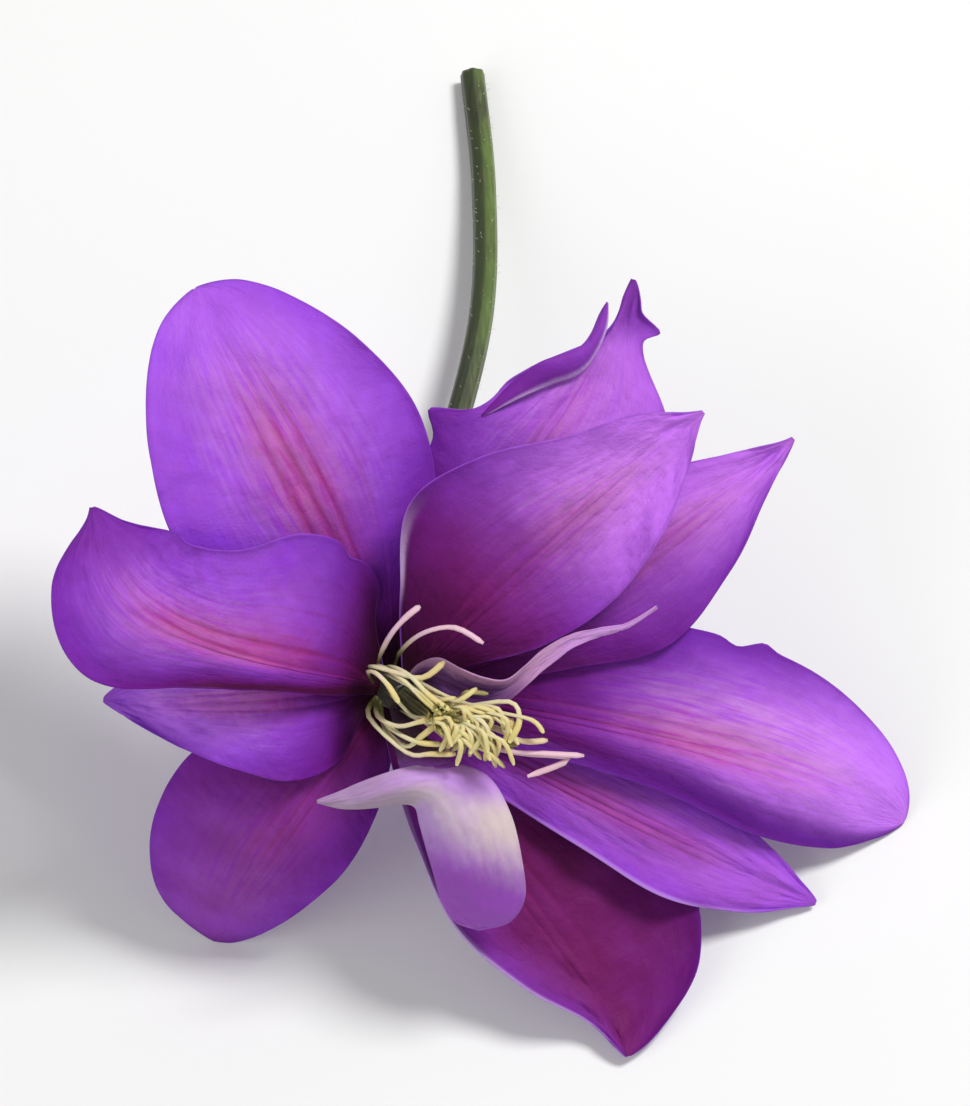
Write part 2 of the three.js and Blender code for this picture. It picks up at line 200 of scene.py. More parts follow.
def ring_frame(line, aside):
    """Two unit vectors square to a line at each of its points: n = way x aside and b = way x n."""
    way = unit(np.gradient(line, axis=-2))
    sideways = unit(np.cross(way, aside))
    return sideways, np.cross(way, sideways)


TUBE_SIDE = [0.31, 0.52, 0.8]  # no tube runs this way


def tubes(paths, radii, sides, flat=1.0):
    """Rings of a radius along many paths (tubes, steps, 3), as r (cos a n + flat sin a b), capped at both
    ends. Also the share of its length and the number of its tube for each point."""
    count, steps = paths.shape[:2]
    sideways, upwards = ring_frame(paths, TUBE_SIDE)
    turn = 2 * np.pi * np.arange(sides) / sides
    ring = np.cos(turn)[:, None] * sideways[:, :, None] + flat * np.sin(turn)[:, None] * upwards[:, :, None]
    points = paths[:, :, None] + np.asarray(radii)[:, :, None, None] * ring
    one = grid_quads(steps, sides, around=True)[:, ::-1]
    first = np.arange(count)[:, None, None] * steps * sides
    faces = (first + one).reshape(-1, 4).tolist()
    ends = [np.arange(sides), (steps - 1) * sides + np.arange(sides)[::-1]]
    for end in ends:
        faces += (first[:, 0] + end).tolist()
    share = np.broadcast_to(np.linspace(0, 1, steps)[None, :, None], (count, steps, sides))
    which = np.broadcast_to(np.arange(count)[:, None, None] / count, (count, steps, sides))
    return points.reshape(-1, 3), faces, {"along": share, "which": which}


# %% [markdown]
# ## Writing shader maths as plain maths
# A material's pattern is a formula, so it is written as one. `Value` wraps a socket and turns
# each + - * into a Math node. `Shader.node` makes any other node. Colours are mixed with Mix nodes
# only, because a Math node would turn them grey. Living colour is never flat, so `Shader.coats`
# lays one thin coat over another, as a painter would, and each coat has its own share.

# %% A small language for materials
def colour(code):
    """A web colour such as "a855dc" as linear red, green, blue and 1."""
    part = np.array([int(code[i : i + 2], 16) / 255 for i in (0, 2, 4)])
    linear = np.where(part <= 0.04045, part / 12.92, ((part + 0.055) / 1.055) ** 2.4)
    return (*linear.tolist(), 1.0)


class Value:
    """A shader socket that adds, multiplies and so on like a number."""

    def __init__(self, shader, socket):
        self.shader, self.socket = shader, socket

    def __add__(self, other):
        return self.shader.math("ADD", self, other)

    __radd__ = __add__

    def __sub__(self, other):
        return self.shader.math("SUBTRACT", self, other)

    def __rsub__(self, other):
        return self.shader.math("SUBTRACT", other, self)

    def __mul__(self, other):
        return self.shader.math("MULTIPLY", self, other)

    def __neg__(self):
        return self * -1.0

    def abs(self):
        return self.shader.math("ABSOLUTE", self)

    def sin(self):
        return self.shader.math("SINE", self)

    def hill(self, width):
        """2.718^-(x / width)^2: 1 at zero, soft on both sides."""
        scaled = self * (1 / width)
        return self.shader.math("POWER", 2.718, -(scaled * scaled))

    def step(self, low, high):
        """0 below low and 1 above high, soft between."""
        settings = {"interpolation_type": "SMOOTHSTEP", "clamp": True}
        return self.shader.node("ShaderNodeMapRange", settings, self, low, high, 0.0, 1.0)

    def between(self, low, high, down, end):
        """Up from 0 to 1 between low and high, and back to 0 between down and end."""
        return self.step(low, high) * (1 - self.step(down, end))


class Shader:
    """One material, with its Principled BSDF, and short ways to add nodes to it."""

    def __init__(self, name):
        self.material = bpy.data.materials.new(name)
        self.material.use_nodes = True
        self.tree = self.material.node_tree
        self.skin = self.tree.nodes["Principled BSDF"]

    def node(self, kind, settings, *inputs, output=0):
        made = self.tree.nodes.new(kind)
        for key, value in settings.items():
            setattr(made, key, value)
        for socket, value in zip([s for s in made.inputs if s.enabled], inputs):
            self.feed(socket, value)
        return Value(self, [s for s in made.outputs if s.enabled][output])

    def feed(self, socket, value):
        if isinstance(value, Value):
            self.tree.links.new(value.socket, socket)
        else:
            socket.default_value = colour(value) if isinstance(value, str) else value

    def math(self, operation, *inputs):
        return self.node("ShaderNodeMath", {"operation": operation}, *inputs)

    def attribute(self, key):
        return self.node("ShaderNodeAttribute", {"attribute_name": key}, output=2)

    def place(self):
        return self.node("ShaderNodeTexCoord", {}, output=3)

    def vector(self, x, y, z):
        return self.node("ShaderNodeCombineXYZ", {}, x, y, z)

    def noise(self, where, scale, detail=3.0, roughness=0.55):
        return self.node("ShaderNodeTexNoise", {}, where, scale, detail, roughness)

    def mix(self, share, first, second):
        return self.node("ShaderNodeMix", {"data_type": "RGBA"}, share, first, second)

    def coats(self, base, *coats):
        """A base colour with coats mixed over it in turn; a coat is its share and its colour."""
        for share, coat in coats:
            base = self.mix(share, base, coat)
        return base

    def bump(self, height, distance, strength):
        """A Normal that follows a height; the distance is the relief's depth in metres."""
        made = self.node("ShaderNodeBump", {})
        for key, value in (("Height", height), ("Distance", distance), ("Strength", strength)):
            self.feed(made.socket.node.inputs[key], value)
        return made

    def finish(self, **sockets):
        """Feed the Principled BSDF's sockets, with _ for a space in their names. Returns the material."""
        for key, value in sockets.items():
            self.feed(self.skin.inputs[key.replace("_", " ")], value)
        return self.material


def dress(piece, material):
    piece.data.materials.append(material)
    print(piece.name, "wears", material.name)


# %% [markdown]
# ## The petals
# A clematis petal is really a coloured sepal: a narrow claw, then a broad blade with three strong
# nerves down its middle and a thin wavy margin. Sculpting ten by hand would be slow and hard to
# mend, so each is a function of two parameters: how far along its midrib, and how far across.
# The midrib is a cubic curve in the face frame. Half widths at seven stations on each side draw
# the outline, heights at quarters bend the blade, and edge heights cup or droop its sides. The
# margin can curl over towards the eye, by an angle given at thirds of the length. A tooth is a
# small point or notch in the margin: its side, its place along, how far it reaches outwards and
# ahead, and its width. A ridge lifts a strip of the blade: its place across, width and height.
#
# The last numbers of a petal are its colour. `deep` is how dark it is at quarters of its midrib,
# partly its own darker foot and partly painted shade. `left_deep` and `right_deep` are the painted
# shade that its margins add at thirds, where they turn down or lie under a neighbour. `bar`, `nerve`,
# `highlight`, `glow` and `wine` are how strong its magenta bar, dark nerves, painted
# highlights on the flanks and towards the tip, pale pink middle (partly a painted highlight) and the
# wine red of its painted shade are. `glow_at` is where across the blade the pale middle lies.
# `blush` turns the blade pinker above zero and bluer below, and `cool` turns the painted shade on its
# margins from maroon to blue-violet. `pale_rim_highlight` is how pale a rolled margin is, at quarters
# of the length, partly its paler underside and partly a painted highlight.

# %% The numbers of the petals
COLUMN_RADIUS = 2.6
LEVEL_STEP = 1.25  # from one petal's root to the next one up
CLAW = 2.8  # width of a petal's root
TIP_WIDTH = 0.5
ROOT_DEPTH = 0.2  # how far a petal's root reaches into the column
CURL_FROM = 0.86  # where across the blade its margin starts to curl
NONE = [0, 0, 0, 0]

PLAIN = dict(
    waves=2.5, teeth=[], left_curl=NONE, right_curl=NONE, left_deep=NONE, right_deep=NONE,
    pale_rim_highlight=[0, 0.4, 0.6, 0.6, 0.4], glow_at=0, blush=0, cool=0,
)
PETALS = {
    "petal_outer_lower_middle": dict(
        azimuth=295, level=0, reach=16, bend=[28, -37], tip=[32.5, -50.5],
        left=[2, 6.2, 11, 16, 19.2, 14.6, 5.4], right=[2.9, 5.0, 8.6, 11.5, 8.7, 3.4, 1.3],
        rise=[0, 5, 6, 7, 10], left_edge=[-0.3, -1.5, -0.6, 2], right_edge=[0, 0.5, 2.5, 1],
        wave=0.5, phase=0.4, left_curl=[0, 0, 25, 20], right_curl=[0, 120, 150, 90],
        deep=[1, 0.78, 0.75, 0.72, 0.66], left_deep=[0, 0.1, 0.15, 0.15], right_deep=[0, -0.3, -0.35, -0.2],
        bar=0.3, nerve=0.5, light=0.1, glow=0, wine=0.9, pale_rim_highlight=[0.2, 0.5, 0.5, 0.5, 0.2],
    ),
    "petal_outer_lower_left": dict(
        azimuth=234, level=0, reach=14, bend=[-19, -25], tip=[-24.5, -35],
        left=[3.3, 6.5, 9.1, 10.1, 8.6, 6, 3], right=[3.6, 7.5, 13, 16.2, 15.7, 12.6, 7.6],
        rise=[0, 3.9, 3.4, -2.5, -12.8], left_edge=[0, -1, -2, -2.5], right_edge=[-0.2, -1.5, -2.6, -2.5],
        wave=0.4, waves=2, phase=1.3, left_curl=[0, 20, 30, 20], right_curl=[0, 0, 20, 20],
        deep=[1, 0.6, 0.48, 0.42, 0.4], right_deep=[0.3, 0.2, 0.05, 0],
        bar=1.0, nerve=0.5, light=0.2, glow=0.6, wine=0.75,
    ),
    "petal_outer_lower_right": dict(
        azimuth=328, level=1, reach=18, bend=[40, -22], tip=[58.4, -30],
        left=[3, 6, 8.3, 8.8, 7.5, 4.6, 1.6], right=[2.7, 4.6, 5.6, 6.9, 8.2, 5.5, 1.7],
        rise=[0, 6.4, 7.5, 6.4, 4.1], left_edge=[-0.3, -1, -1.1, 0], right_edge=[0, 0, 1, 1],
        wave=0.4, phase=2.2, left_curl=[0, 0, 0, 20], right_curl=[0, 70, 110, 60],
        deep=[0.9, 0.4, 0.24, 0.18, 0.1], left_deep=[0, 0.1, 0.15, 0.1], right_deep=[0.2, 0, 0, 0],
        bar=1.1, nerve=0.5, light=0.3, glow=0.3, wine=0.5, pale_rim_highlight=[0.1, 0.35, 0.35, 0.35, 0.2],
    ),
    "petal_outer_left": dict(
        azimuth=185, level=1, reach=14, bend=[-27, -3], tip=[-38.5, -1.8],
        left=[3.2, 9.5, 11.2, 9, 6, 3, 1], right=[3.4, 7, 9, 9.2, 8, 5, 1.7],
        rise=[0, 5.8, 5.3, 1, -5], left_edge=[0.3, 0.8, 0.5, 0], right_edge=[0, -1.8, -2.6, -1],
        wave=0.4, phase=0, left_curl=[0, 20, 30, 0],
        deep=[1, 0.25, -0.05, 0.1, 0.3], left_deep=[0, 0.55, 0.3, 0.1], right_deep=[0, -0.1, 0, 0],
        bar=0.8, nerve=0.25, light=1.2, glow=0.6, glow_at=-0.2, blush=-0.6, wine=0.1,
    ),
    "petal_outer_top": dict(
        azimuth=62, level=1, reach=20, bend=[27, 38], tip=[33, 55],
        left=[3, 6.2, 10.8, 12.8, 7.4, 0.7, 0.4], right=[1.9, 5.4, 8.9, 11.8, 13.8, 5.2, 1.9],
        rise=[0, 6.1, 6.9, 5.7, 2.9], left_edge=[-0.2, -2, 0.8, 1.5], right_edge=[0, -0.5, -1, 1.5],
        wave=0.6, phase=3, right_curl=[0, 0, 0, 60],
        teeth=[
            (1, 0.5, 3.0, 0, 0.018), (1, 0.55, -1.9, 0, 0.03), (-1, 0.67, 1, 0, 0.04),
            (-1, 0.8, 2.8, 0.3, 0.02),
        ],
        fold=[
            [12.6, 36.6, 0.1], [16.7, 41.0, 0.1], [20.0, 43.5, 0.1], [23.4, 44.8, 0.1], [25.8, 45.8, 0.2],
            [27.3, 47.6, 0.5], [28.4, 50.1, 0.8], [29.4, 51.9, 1.0],
        ],
        free_edge=[
            [12.8, 36.4, 0.3], [18.0, 39.0, 1.0], [22.4, 40.9, 1.3], [25.0, 41.8, 1.4], [26.8, 43.2, 1.5],
            [28.3, 45.6, 1.6], [29.5, 48.6, 1.4], [29.7, 51.7, 1.0],
        ],
        deep=[1, 0.7, 0.32, 0.12, 0.5], left_deep=[0, 0.2, 0.1, 0.1], right_deep=[0, 0, -0.1, 0],
        bar=0.7, nerve=0.3, light=0.8, glow=0.5, blush=0.65, wine=0.2,
    ),
    "petal_outer_upper_left": dict(
        azimuth=108, level=2, reach=20, bend=[-17, 38], tip=[-26, 53.5],
        left=[3.5, 9.6, 16.4, 19, 16.6, 12, 6.5], right=[2.1, 7.7, 14.8, 18, 15.8, 11.2, 6],
        rise=[0, 6.15, 6.3, 2.8, -3.7], left_edge=[0, -1.3, -1.8, -1], right_edge=[0, 0.5, -1, -1.5],
        wave=0.6, phase=1, left_curl=[0, 0, 20, 30], right_curl=[0, 20, 30, 20],
        deep=[0.9, 0.34, 0.14, 0.1, 0.05], right_deep=[0.3, 0.3, 0.12, 0.1],
        bar=1.4, nerve=1.1, light=0.45, glow=0.6, blush=-0.5, wine=0.1,
    ),
    "petal_inner_right": dict(
        azimuth=352, level=2, reach=22, bend=[55, -10], tip=[70.8, -19],
        left=[4.2, 9.2, 13.8, 15.5, 14.4, 10.1, 5], right=[2.8, 5, 5.8, 7.2, 9.5, 8, 3.6],
        rise=[0, 7.2, 8.9, 6.6, 2.1], left_edge=[0, 0, -2, -2.5], right_edge=[1, 0.9, -1.4, -2.5],
        wave=0.6, phase=2.4, left_curl=[0, 0, 20, 30], right_curl=[0, 30, 40, 30],
        ridge=(-0.3, 0.3, 1.2), teeth=[(1, 0.537, -0.9, 0, 0.014), (1, 0.568, 0.7, 0, 0.012)],
        deep=[1, 0.7, 0.12, -0.05, -0.1],
        left_deep=[0.2, 0.45, 0.45, 0.1], right_deep=[0.1, 1.1, 1.25, 0.8],
        bar=1.2, nerve=0.45, light=1.0, glow=0.85, glow_at=0.2, wine=0.2, cool=1.0,
    ),
    "petal_outer_upper_right": dict(
        azimuth=22, level=3, reach=20, bend=[42, 22], tip=[55, 33.6],
        left=[4, 7, 10.1, 11, 8.3, 4.1, 1.0], right=[1.9, 4, 7.6, 12, 8.6, 3.7, 1.2],
        rise=[0, 6.9, 8.3, 5.3, 0.1], left_edge=[0, -0.5, 0, 1], right_edge=[0, 0, 1, 1.5],
        wave=0.5, waves=2, phase=0.5, left_curl=[0, 0, 20, 20], right_curl=[0, 0, 30, 30],
        deep=[1, 0.75, 0.36, 0.1, 0.05], right_deep=[0.3, 0.45, 0.4, 0.15],
        bar=1.2, nerve=0.45, light=0.85, glow=0.6, blush=0.75, wine=0.3, cool=0.4,
    ),
    "petal_inner_left": dict(
        azimuth=165, level=3, reach=14, bend=[-37, 5], tip=[-39.5, 24.1],
        left=[1.7, 2.8, 3.9, 6.8, 12.2, 8.6, 1.6], right=[6, 16.4, 17.8, 13.2, 10.6, 9, 3.2],
        rise=[0, 9.1, 10.2, 6.8, 0.6], left_edge=[0, 0, -1, -1], right_edge=[1.1, 2.1, 1, -0.4],
        wave=0.7, phase=0.9, left_curl=[0, 0, 20, 30], right_curl=[0, 30, 40, 20],
        ridge=(0.25, 0.3, 0.7), teeth=[(-1, 0.205, 0.3, -1.7, 0.03), (-1, 0.265, -1.0, 0, 0.018)],
        deep=[1.05, 0.24, 0.08, 0.2, 0.5], left_deep=[0.5, 1.3, 0.5, 0], right_deep=[0, 0, 0.05, 0.05],
        bar=1.4, nerve=1.1, light=0.25, glow=0.5, blush=-0.4, wine=0.3,
    ),
    "petal_inner_upper_right": dict(
        azimuth=48, level=4, reach=16, bend=[30, 27], tip=[42.3, 36.9],
        left=[3.8, 9.6, 16.9, 14.8, 9.1, 5.5, 1.4], right=[1.9, 5, 9.6, 11.6, 9.6, 5.2, 1.3],
        rise=[0, 7.2, 9.2, 11.6, 14.1], left_edge=[1, 3, 3, 1], right_edge=[0, 2.4, 3, 1],
        wave=0.7, phase=2, left_curl=[150, 60, 0, 0], right_curl=[0, 20, 30, 20],
        deep=[1, 0.8, 0.3, -0.05, -0.1], left_deep=[0, 0.1, 0.05, 0], right_deep=[0.2, 0.1, -0.1, -0.1],
        bar=1, nerve=0.3, light=1.3, glow=0.8, blush=0.65, wine=0.6, pale_rim_highlight=[0.7, 0.8, 0.3, 0, 0],
    ),
}
print(len(PETALS), "petals")


# %% The surface of one petal
def midrib_of(petal, along):
    """Cubic curve root, handle, bend, tip: its points, and its unit directions ahead and leftwards."""
    azimuth = np.radians(petal["azimuth"])
    root = round_axis(petal["azimuth"], COLUMN_RADIUS - ROOT_DEPTH, petal["level"] * LEVEL_STEP)[:2]
    handle = root + petal["reach"] * np.array([np.cos(azimuth), np.sin(azimuth)])
    a, b, c, d = root, handle, np.array(petal["bend"]), np.array(petal["tip"])
    t = along[..., None]
    points = (1 - t) ** 3 * a + 3 * (1 - t) ** 2 * t * b + 3 * (1 - t) * t**2 * c + t**3 * d
    ahead = unit((1 - t) ** 2 * (b - a) + 2 * (1 - t) * t * (c - b) + t**2 * (d - c))
    return points, ahead, np.stack([-ahead[..., 1], ahead[..., 0]], -1)


def by_side(petal, what, share, across):
    """The petal's left_what values where across is above 0 and its right_what values elsewhere."""
    left, right = (through(petal[f"{side}_{what}"], share) for side in ("left", "right"))
    return np.where(across > 0, left, right)


def rising(along, low, high, end):
    """0 before low, 1 after high, and back to 0 over the last stretch, of length end, before the tip."""
    return smooth(low, high, along) * smooth(0, end, 1 - along)


def margin(petal, along, across, half_width):
    """Sideways reach and lift of a curling margin: past its start the blade follows an arc of its own
    length, so reach = start + s sin(a) / a and lift = s (1 - cos(a)) / a."""
    size = np.abs(across)
    beyond = np.clip((size - CURL_FROM) / (1 - CURL_FROM), 0, 1)
    angle = np.radians(np.clip(by_side(petal, "curl", along, across), 0.5, 220)) * beyond
    angle = np.maximum(angle, 1e-4)
    length = (1 - CURL_FROM) * half_width * beyond
    reach = np.minimum(size, CURL_FROM) * half_width + length * np.sin(angle) / angle
    return np.sign(across) * reach, length * (1 - np.cos(angle)) / angle


GROOVE_DEPTH = 0.22
# Place across, width and share of the depth of each groove over a nerve.
NERVES = ((0.0, 0.03, 1.0), (0.13, 0.028, 0.7), (-0.13, 0.028, 0.7), (0.42, 0.02, 0.3), (-0.42, 0.02, 0.3))


def petal_grid(petal, rows, columns, seed):
    """Middle surface of a petal, with along and across: midrib + sideways reach + teeth, at the height
    plane + rise + edge across^2 + margin waves + curl + ripples - grooves along the nerves. The whole
    tip takes the mean height of its two edges."""
    step, side = places(rows, columns, -1, 1)
    across = 0.45 * side + 0.55 * np.sin(np.pi * side / 2)
    along = (1 - np.cos(np.pi * step)) / 2
    plan, ahead, leftwards = midrib_of(petal, along)
    left = through([CLAW / 2, *petal["left"], TIP_WIDTH / 2], step)
    right = through([CLAW / 2, *petal["right"], TIP_WIDTH / 2], step)
    half_width = np.where(across > 0, left, right)
    reach, lift = margin(petal, along, across, half_width)
    plan = plan + leftwards * reach[..., None]
    for tooth_side, at, out, forward, width in petal["teeth"]:
        size = np.exp(-(((step - at) / width) ** 2)) * np.abs(across) ** 12 * (across * tooth_side > 0)
        plan = plan + size[..., None] * (ahead * forward + leftwards * out * tooth_side)

    wide = np.abs(reach) / np.maximum(half_width, 0.1)
    left_edge, right_edge = through(petal["left_edge"], along), through(petal["right_edge"], along)
    body = smooth(0, 0.12, 1 - along)
    edge = np.where(across > 0, left_edge, right_edge) * wide**2
    edge = edge * body + (left_edge + right_edge) / 2 * (1 - body)
    swing = 2 * np.pi * petal["waves"] * along + petal["phase"] + np.where(across > 0, 0, 1.7)
    wave = petal["wave"] * wide**3 * rising(along, 0.25, 0.6, 0.2) * np.sin(swing)
    mm_x, mm_y = along * 55, across * 14
    open_part = rising(along, 0.08, 0.3, 0.08)
    frill = 0.3 * wide**6 * open_part * ripple(mm_x, mm_y * 0.3, seed, 7)
    free = 0.5 + 0.9 * smooth(0.35, 0.7, along)
    swell = 0.26 * free * open_part * ripple(mm_x, mm_y, seed + 1, 13)
    dimple = 0.09 * free * open_part * ripple(mm_x, mm_y, seed + 3, 5)
    crinkle = 0.035 * open_part * ripple(mm_x * 1.6, mm_y * 0.7, seed + 2, 2.4)
    grooves = sum(deep * np.exp(-(((across - at) / width) ** 2)) for at, width, deep in NERVES)
    grooves = -GROOVE_DEPTH * grooves * rising(along, 0.02, 0.12, 0.45)
    x, y = np.moveaxis(plan, -1, 0)
    level = petal["level"] * LEVEL_STEP
    z = across_plane(x, y) + level + through(petal["rise"], along) + edge + wave + lift
    z = z + (frill + swell + dimple + crinkle + grooves)
    if "ridge" in petal:
        at, width, high = petal["ridge"]
        z = z + high * np.exp(-(((across - at) / width) ** 2)) * rising(along, 0.15, 0.45, 0.3)
    return np.stack([x, y, z], -1), along, across


def folded_margin(petal, seed, rows=70, columns=16):
    """A margin folded over the petal's own face: point = fold (1 + v) / 2 + free edge (1 - v) / 2 plus a
    bulge 0.8 (1 - v^2) towards the eye. Both rails give x, y and a height above the petal there."""
    base = petal_grid(petal, 120, 60, seed)[0].reshape(-1, 3)
    share, v = places(rows, columns, -1, 1)
    rails = []
    for key in ("fold", "free_edge"):
        rail = np.array(petal[key])
        nearest = np.argmin(((base[None, :, :2] - rail[:, None, :2]) ** 2).sum(-1), axis=1)
        rail[:, 2] += base[nearest, 2]
        rails.append(through(rail, share))
    grid = rails[0] * (1 + v[..., None]) / 2 + rails[1] * (1 - v[..., None]) / 2
    bulge = 0.8 * (1 - v**2) * np.sin(np.pi * share) ** 0.7
    grid[..., 2] += bulge + 0.1 * ripple(share * 17, v * 2, seed, 4)
    return grid, 0.5 + 0.3 * share, v


# The colour numbers that a petal has in one strength all over.
EVEN = ("bar", "nerve", "light", "glow", "glow_at", "blush", "cool")


def colour_values(petal, along, across, rim, fold):
    """What the petal material reads besides along and across. Deep, partly the petal's darker foot and
    partly painted shade, adds the margins' painted shade by across^2 and is a little deeper on the folded
    lip. Rim is the pale underside that shows where the margin rolls over by more than 50 degrees, partly a
    painted highlight where the edge turns to the light."""
    deep = through(petal["deep"], along) + by_side(petal, "deep", along, across) * across**2
    rolled = smooth(50, 110, by_side(petal, "curl", along, across))
    rolled = rolled * smooth(0.85, 0.93, np.abs(across)) * smooth(0.1, 0.2, along)
    wine = petal["wine"] * (1 - np.where(across > 0, 0.95, 0.7) * across**2)
    even = {key: np.full(len(along), petal[key]) for key in EVEN}
    return {
        "deep": deep + 0.25 * fold,
        "rim": np.maximum(rim * 0.8, rolled * through(petal["pale_rim_highlight"], along)),
        "wine": wine,
        **even,
    }


def petal_piece(name, petal, seed, rows=150, columns=72):
    """A petal whose thickness is 0.18 + 0.3 (1 - across^2) (1 - along / 2) mm, with its folded margin."""
    middle, along, across = petal_grid(petal, rows, columns, seed)
    flat = {"along": along, "across": across, "rim": along * 0, "fold": along * 0}
    points, faces, values = blade(middle, 0.18 + 0.3 * (1 - across**2) * (1 - 0.5 * along), flat)
    if "fold" in petal:
        lip, lip_along, v = folded_margin(petal, seed)
        # The lip's free edge is pale, partly a painted highlight.
        rim = smooth(0.45, 0.95, -v)
        folded = {"along": lip_along, "across": 0.75 + 0.1 * v, "rim": rim, "fold": v * 0 + 1}
        lip_points, lip_faces, lip_values = blade(lip, 0.2 + 0.15 * (1 - v**2), folded)
        faces += (np.array(lip_faces) + len(points)).tolist()
        points = np.concatenate([points, lip_points])
        values = {key: np.concatenate([values[key], lip_values[key]]) for key in values}
    values["seed"] = np.full(len(points), seed * 0.37 % 1)
    values |= colour_values(petal, values["along"], values["across"], values["rim"], values.pop("fold"))
    return make_piece(name, to_table(points), faces, values, name)


FIRST_SEED = 11
petals = [
    petal_piece(name, {**PLAIN, **petal}, seed)
    for seed, (name, petal) in enumerate(PETALS.items(), FIRST_SEED)
]

# %% [markdown]
# ## Petal colour
# A fresh petal isn't one purple. The blade is violet, with a magenta bar between three darker nerves
# that fades before the tip. Painted highlights lighten its flanks and its tip, and its middle is pale
# pink, partly a painted highlight. Painted shade darkens its margins where they turn down or lie under
# a neighbour, and its foot is deep maroon, partly its own colour and partly painted shade. Fine veins
# leave the nerves at a slant, and the skin is finely crinkled. The back is paler, with a greenish
# bar. All of this follows the petal, so the material reads the places kept on its points, and one
# material serves all ten petals. The two sides are told apart by the value named back. A wet or
# metallic look would be wrong: the skin is satin, with a little light passing through.

# %% Petal material
# The blade and its painted highlights; its blues and pinks; its bar and nerves; its painted shade
# down to the throat; the rolled rim, partly a painted highlight; and the back.
VIOLET, BRIGHT_PATCH_AND_HIGHLIGHT, WARM_PATCH, FLANK_HIGHLIGHT, PINK_HIGHLIGHT = "9a3cd6", "d07eff", "a448b2", "d39af8", "dca0dc"
BLUE_EDGE, PINK_BLUSH, BLUE_BLUSH = "7f35d8", "cf76dc", "8a45e6"
MAGENTA, DARK_NERVE = "b8489f", "8c1e66"
SHADE, WINE_SHADE, PLUM_SHADE, WINE_RED_SHADE, COOL_SHADE = "7424a6", "852c86", "6a107e", "76194f", "6220a4"
MAROON_SHADE, THROAT_SHADE = "4c0a36", "2e0a1c"
PALE_RIM_HIGHLIGHT, BACK_LILAC, BACK_GREEN, BACK_EDGE = "d9b8e8", "c3a2d8", "a9b27a", "8a48c4"


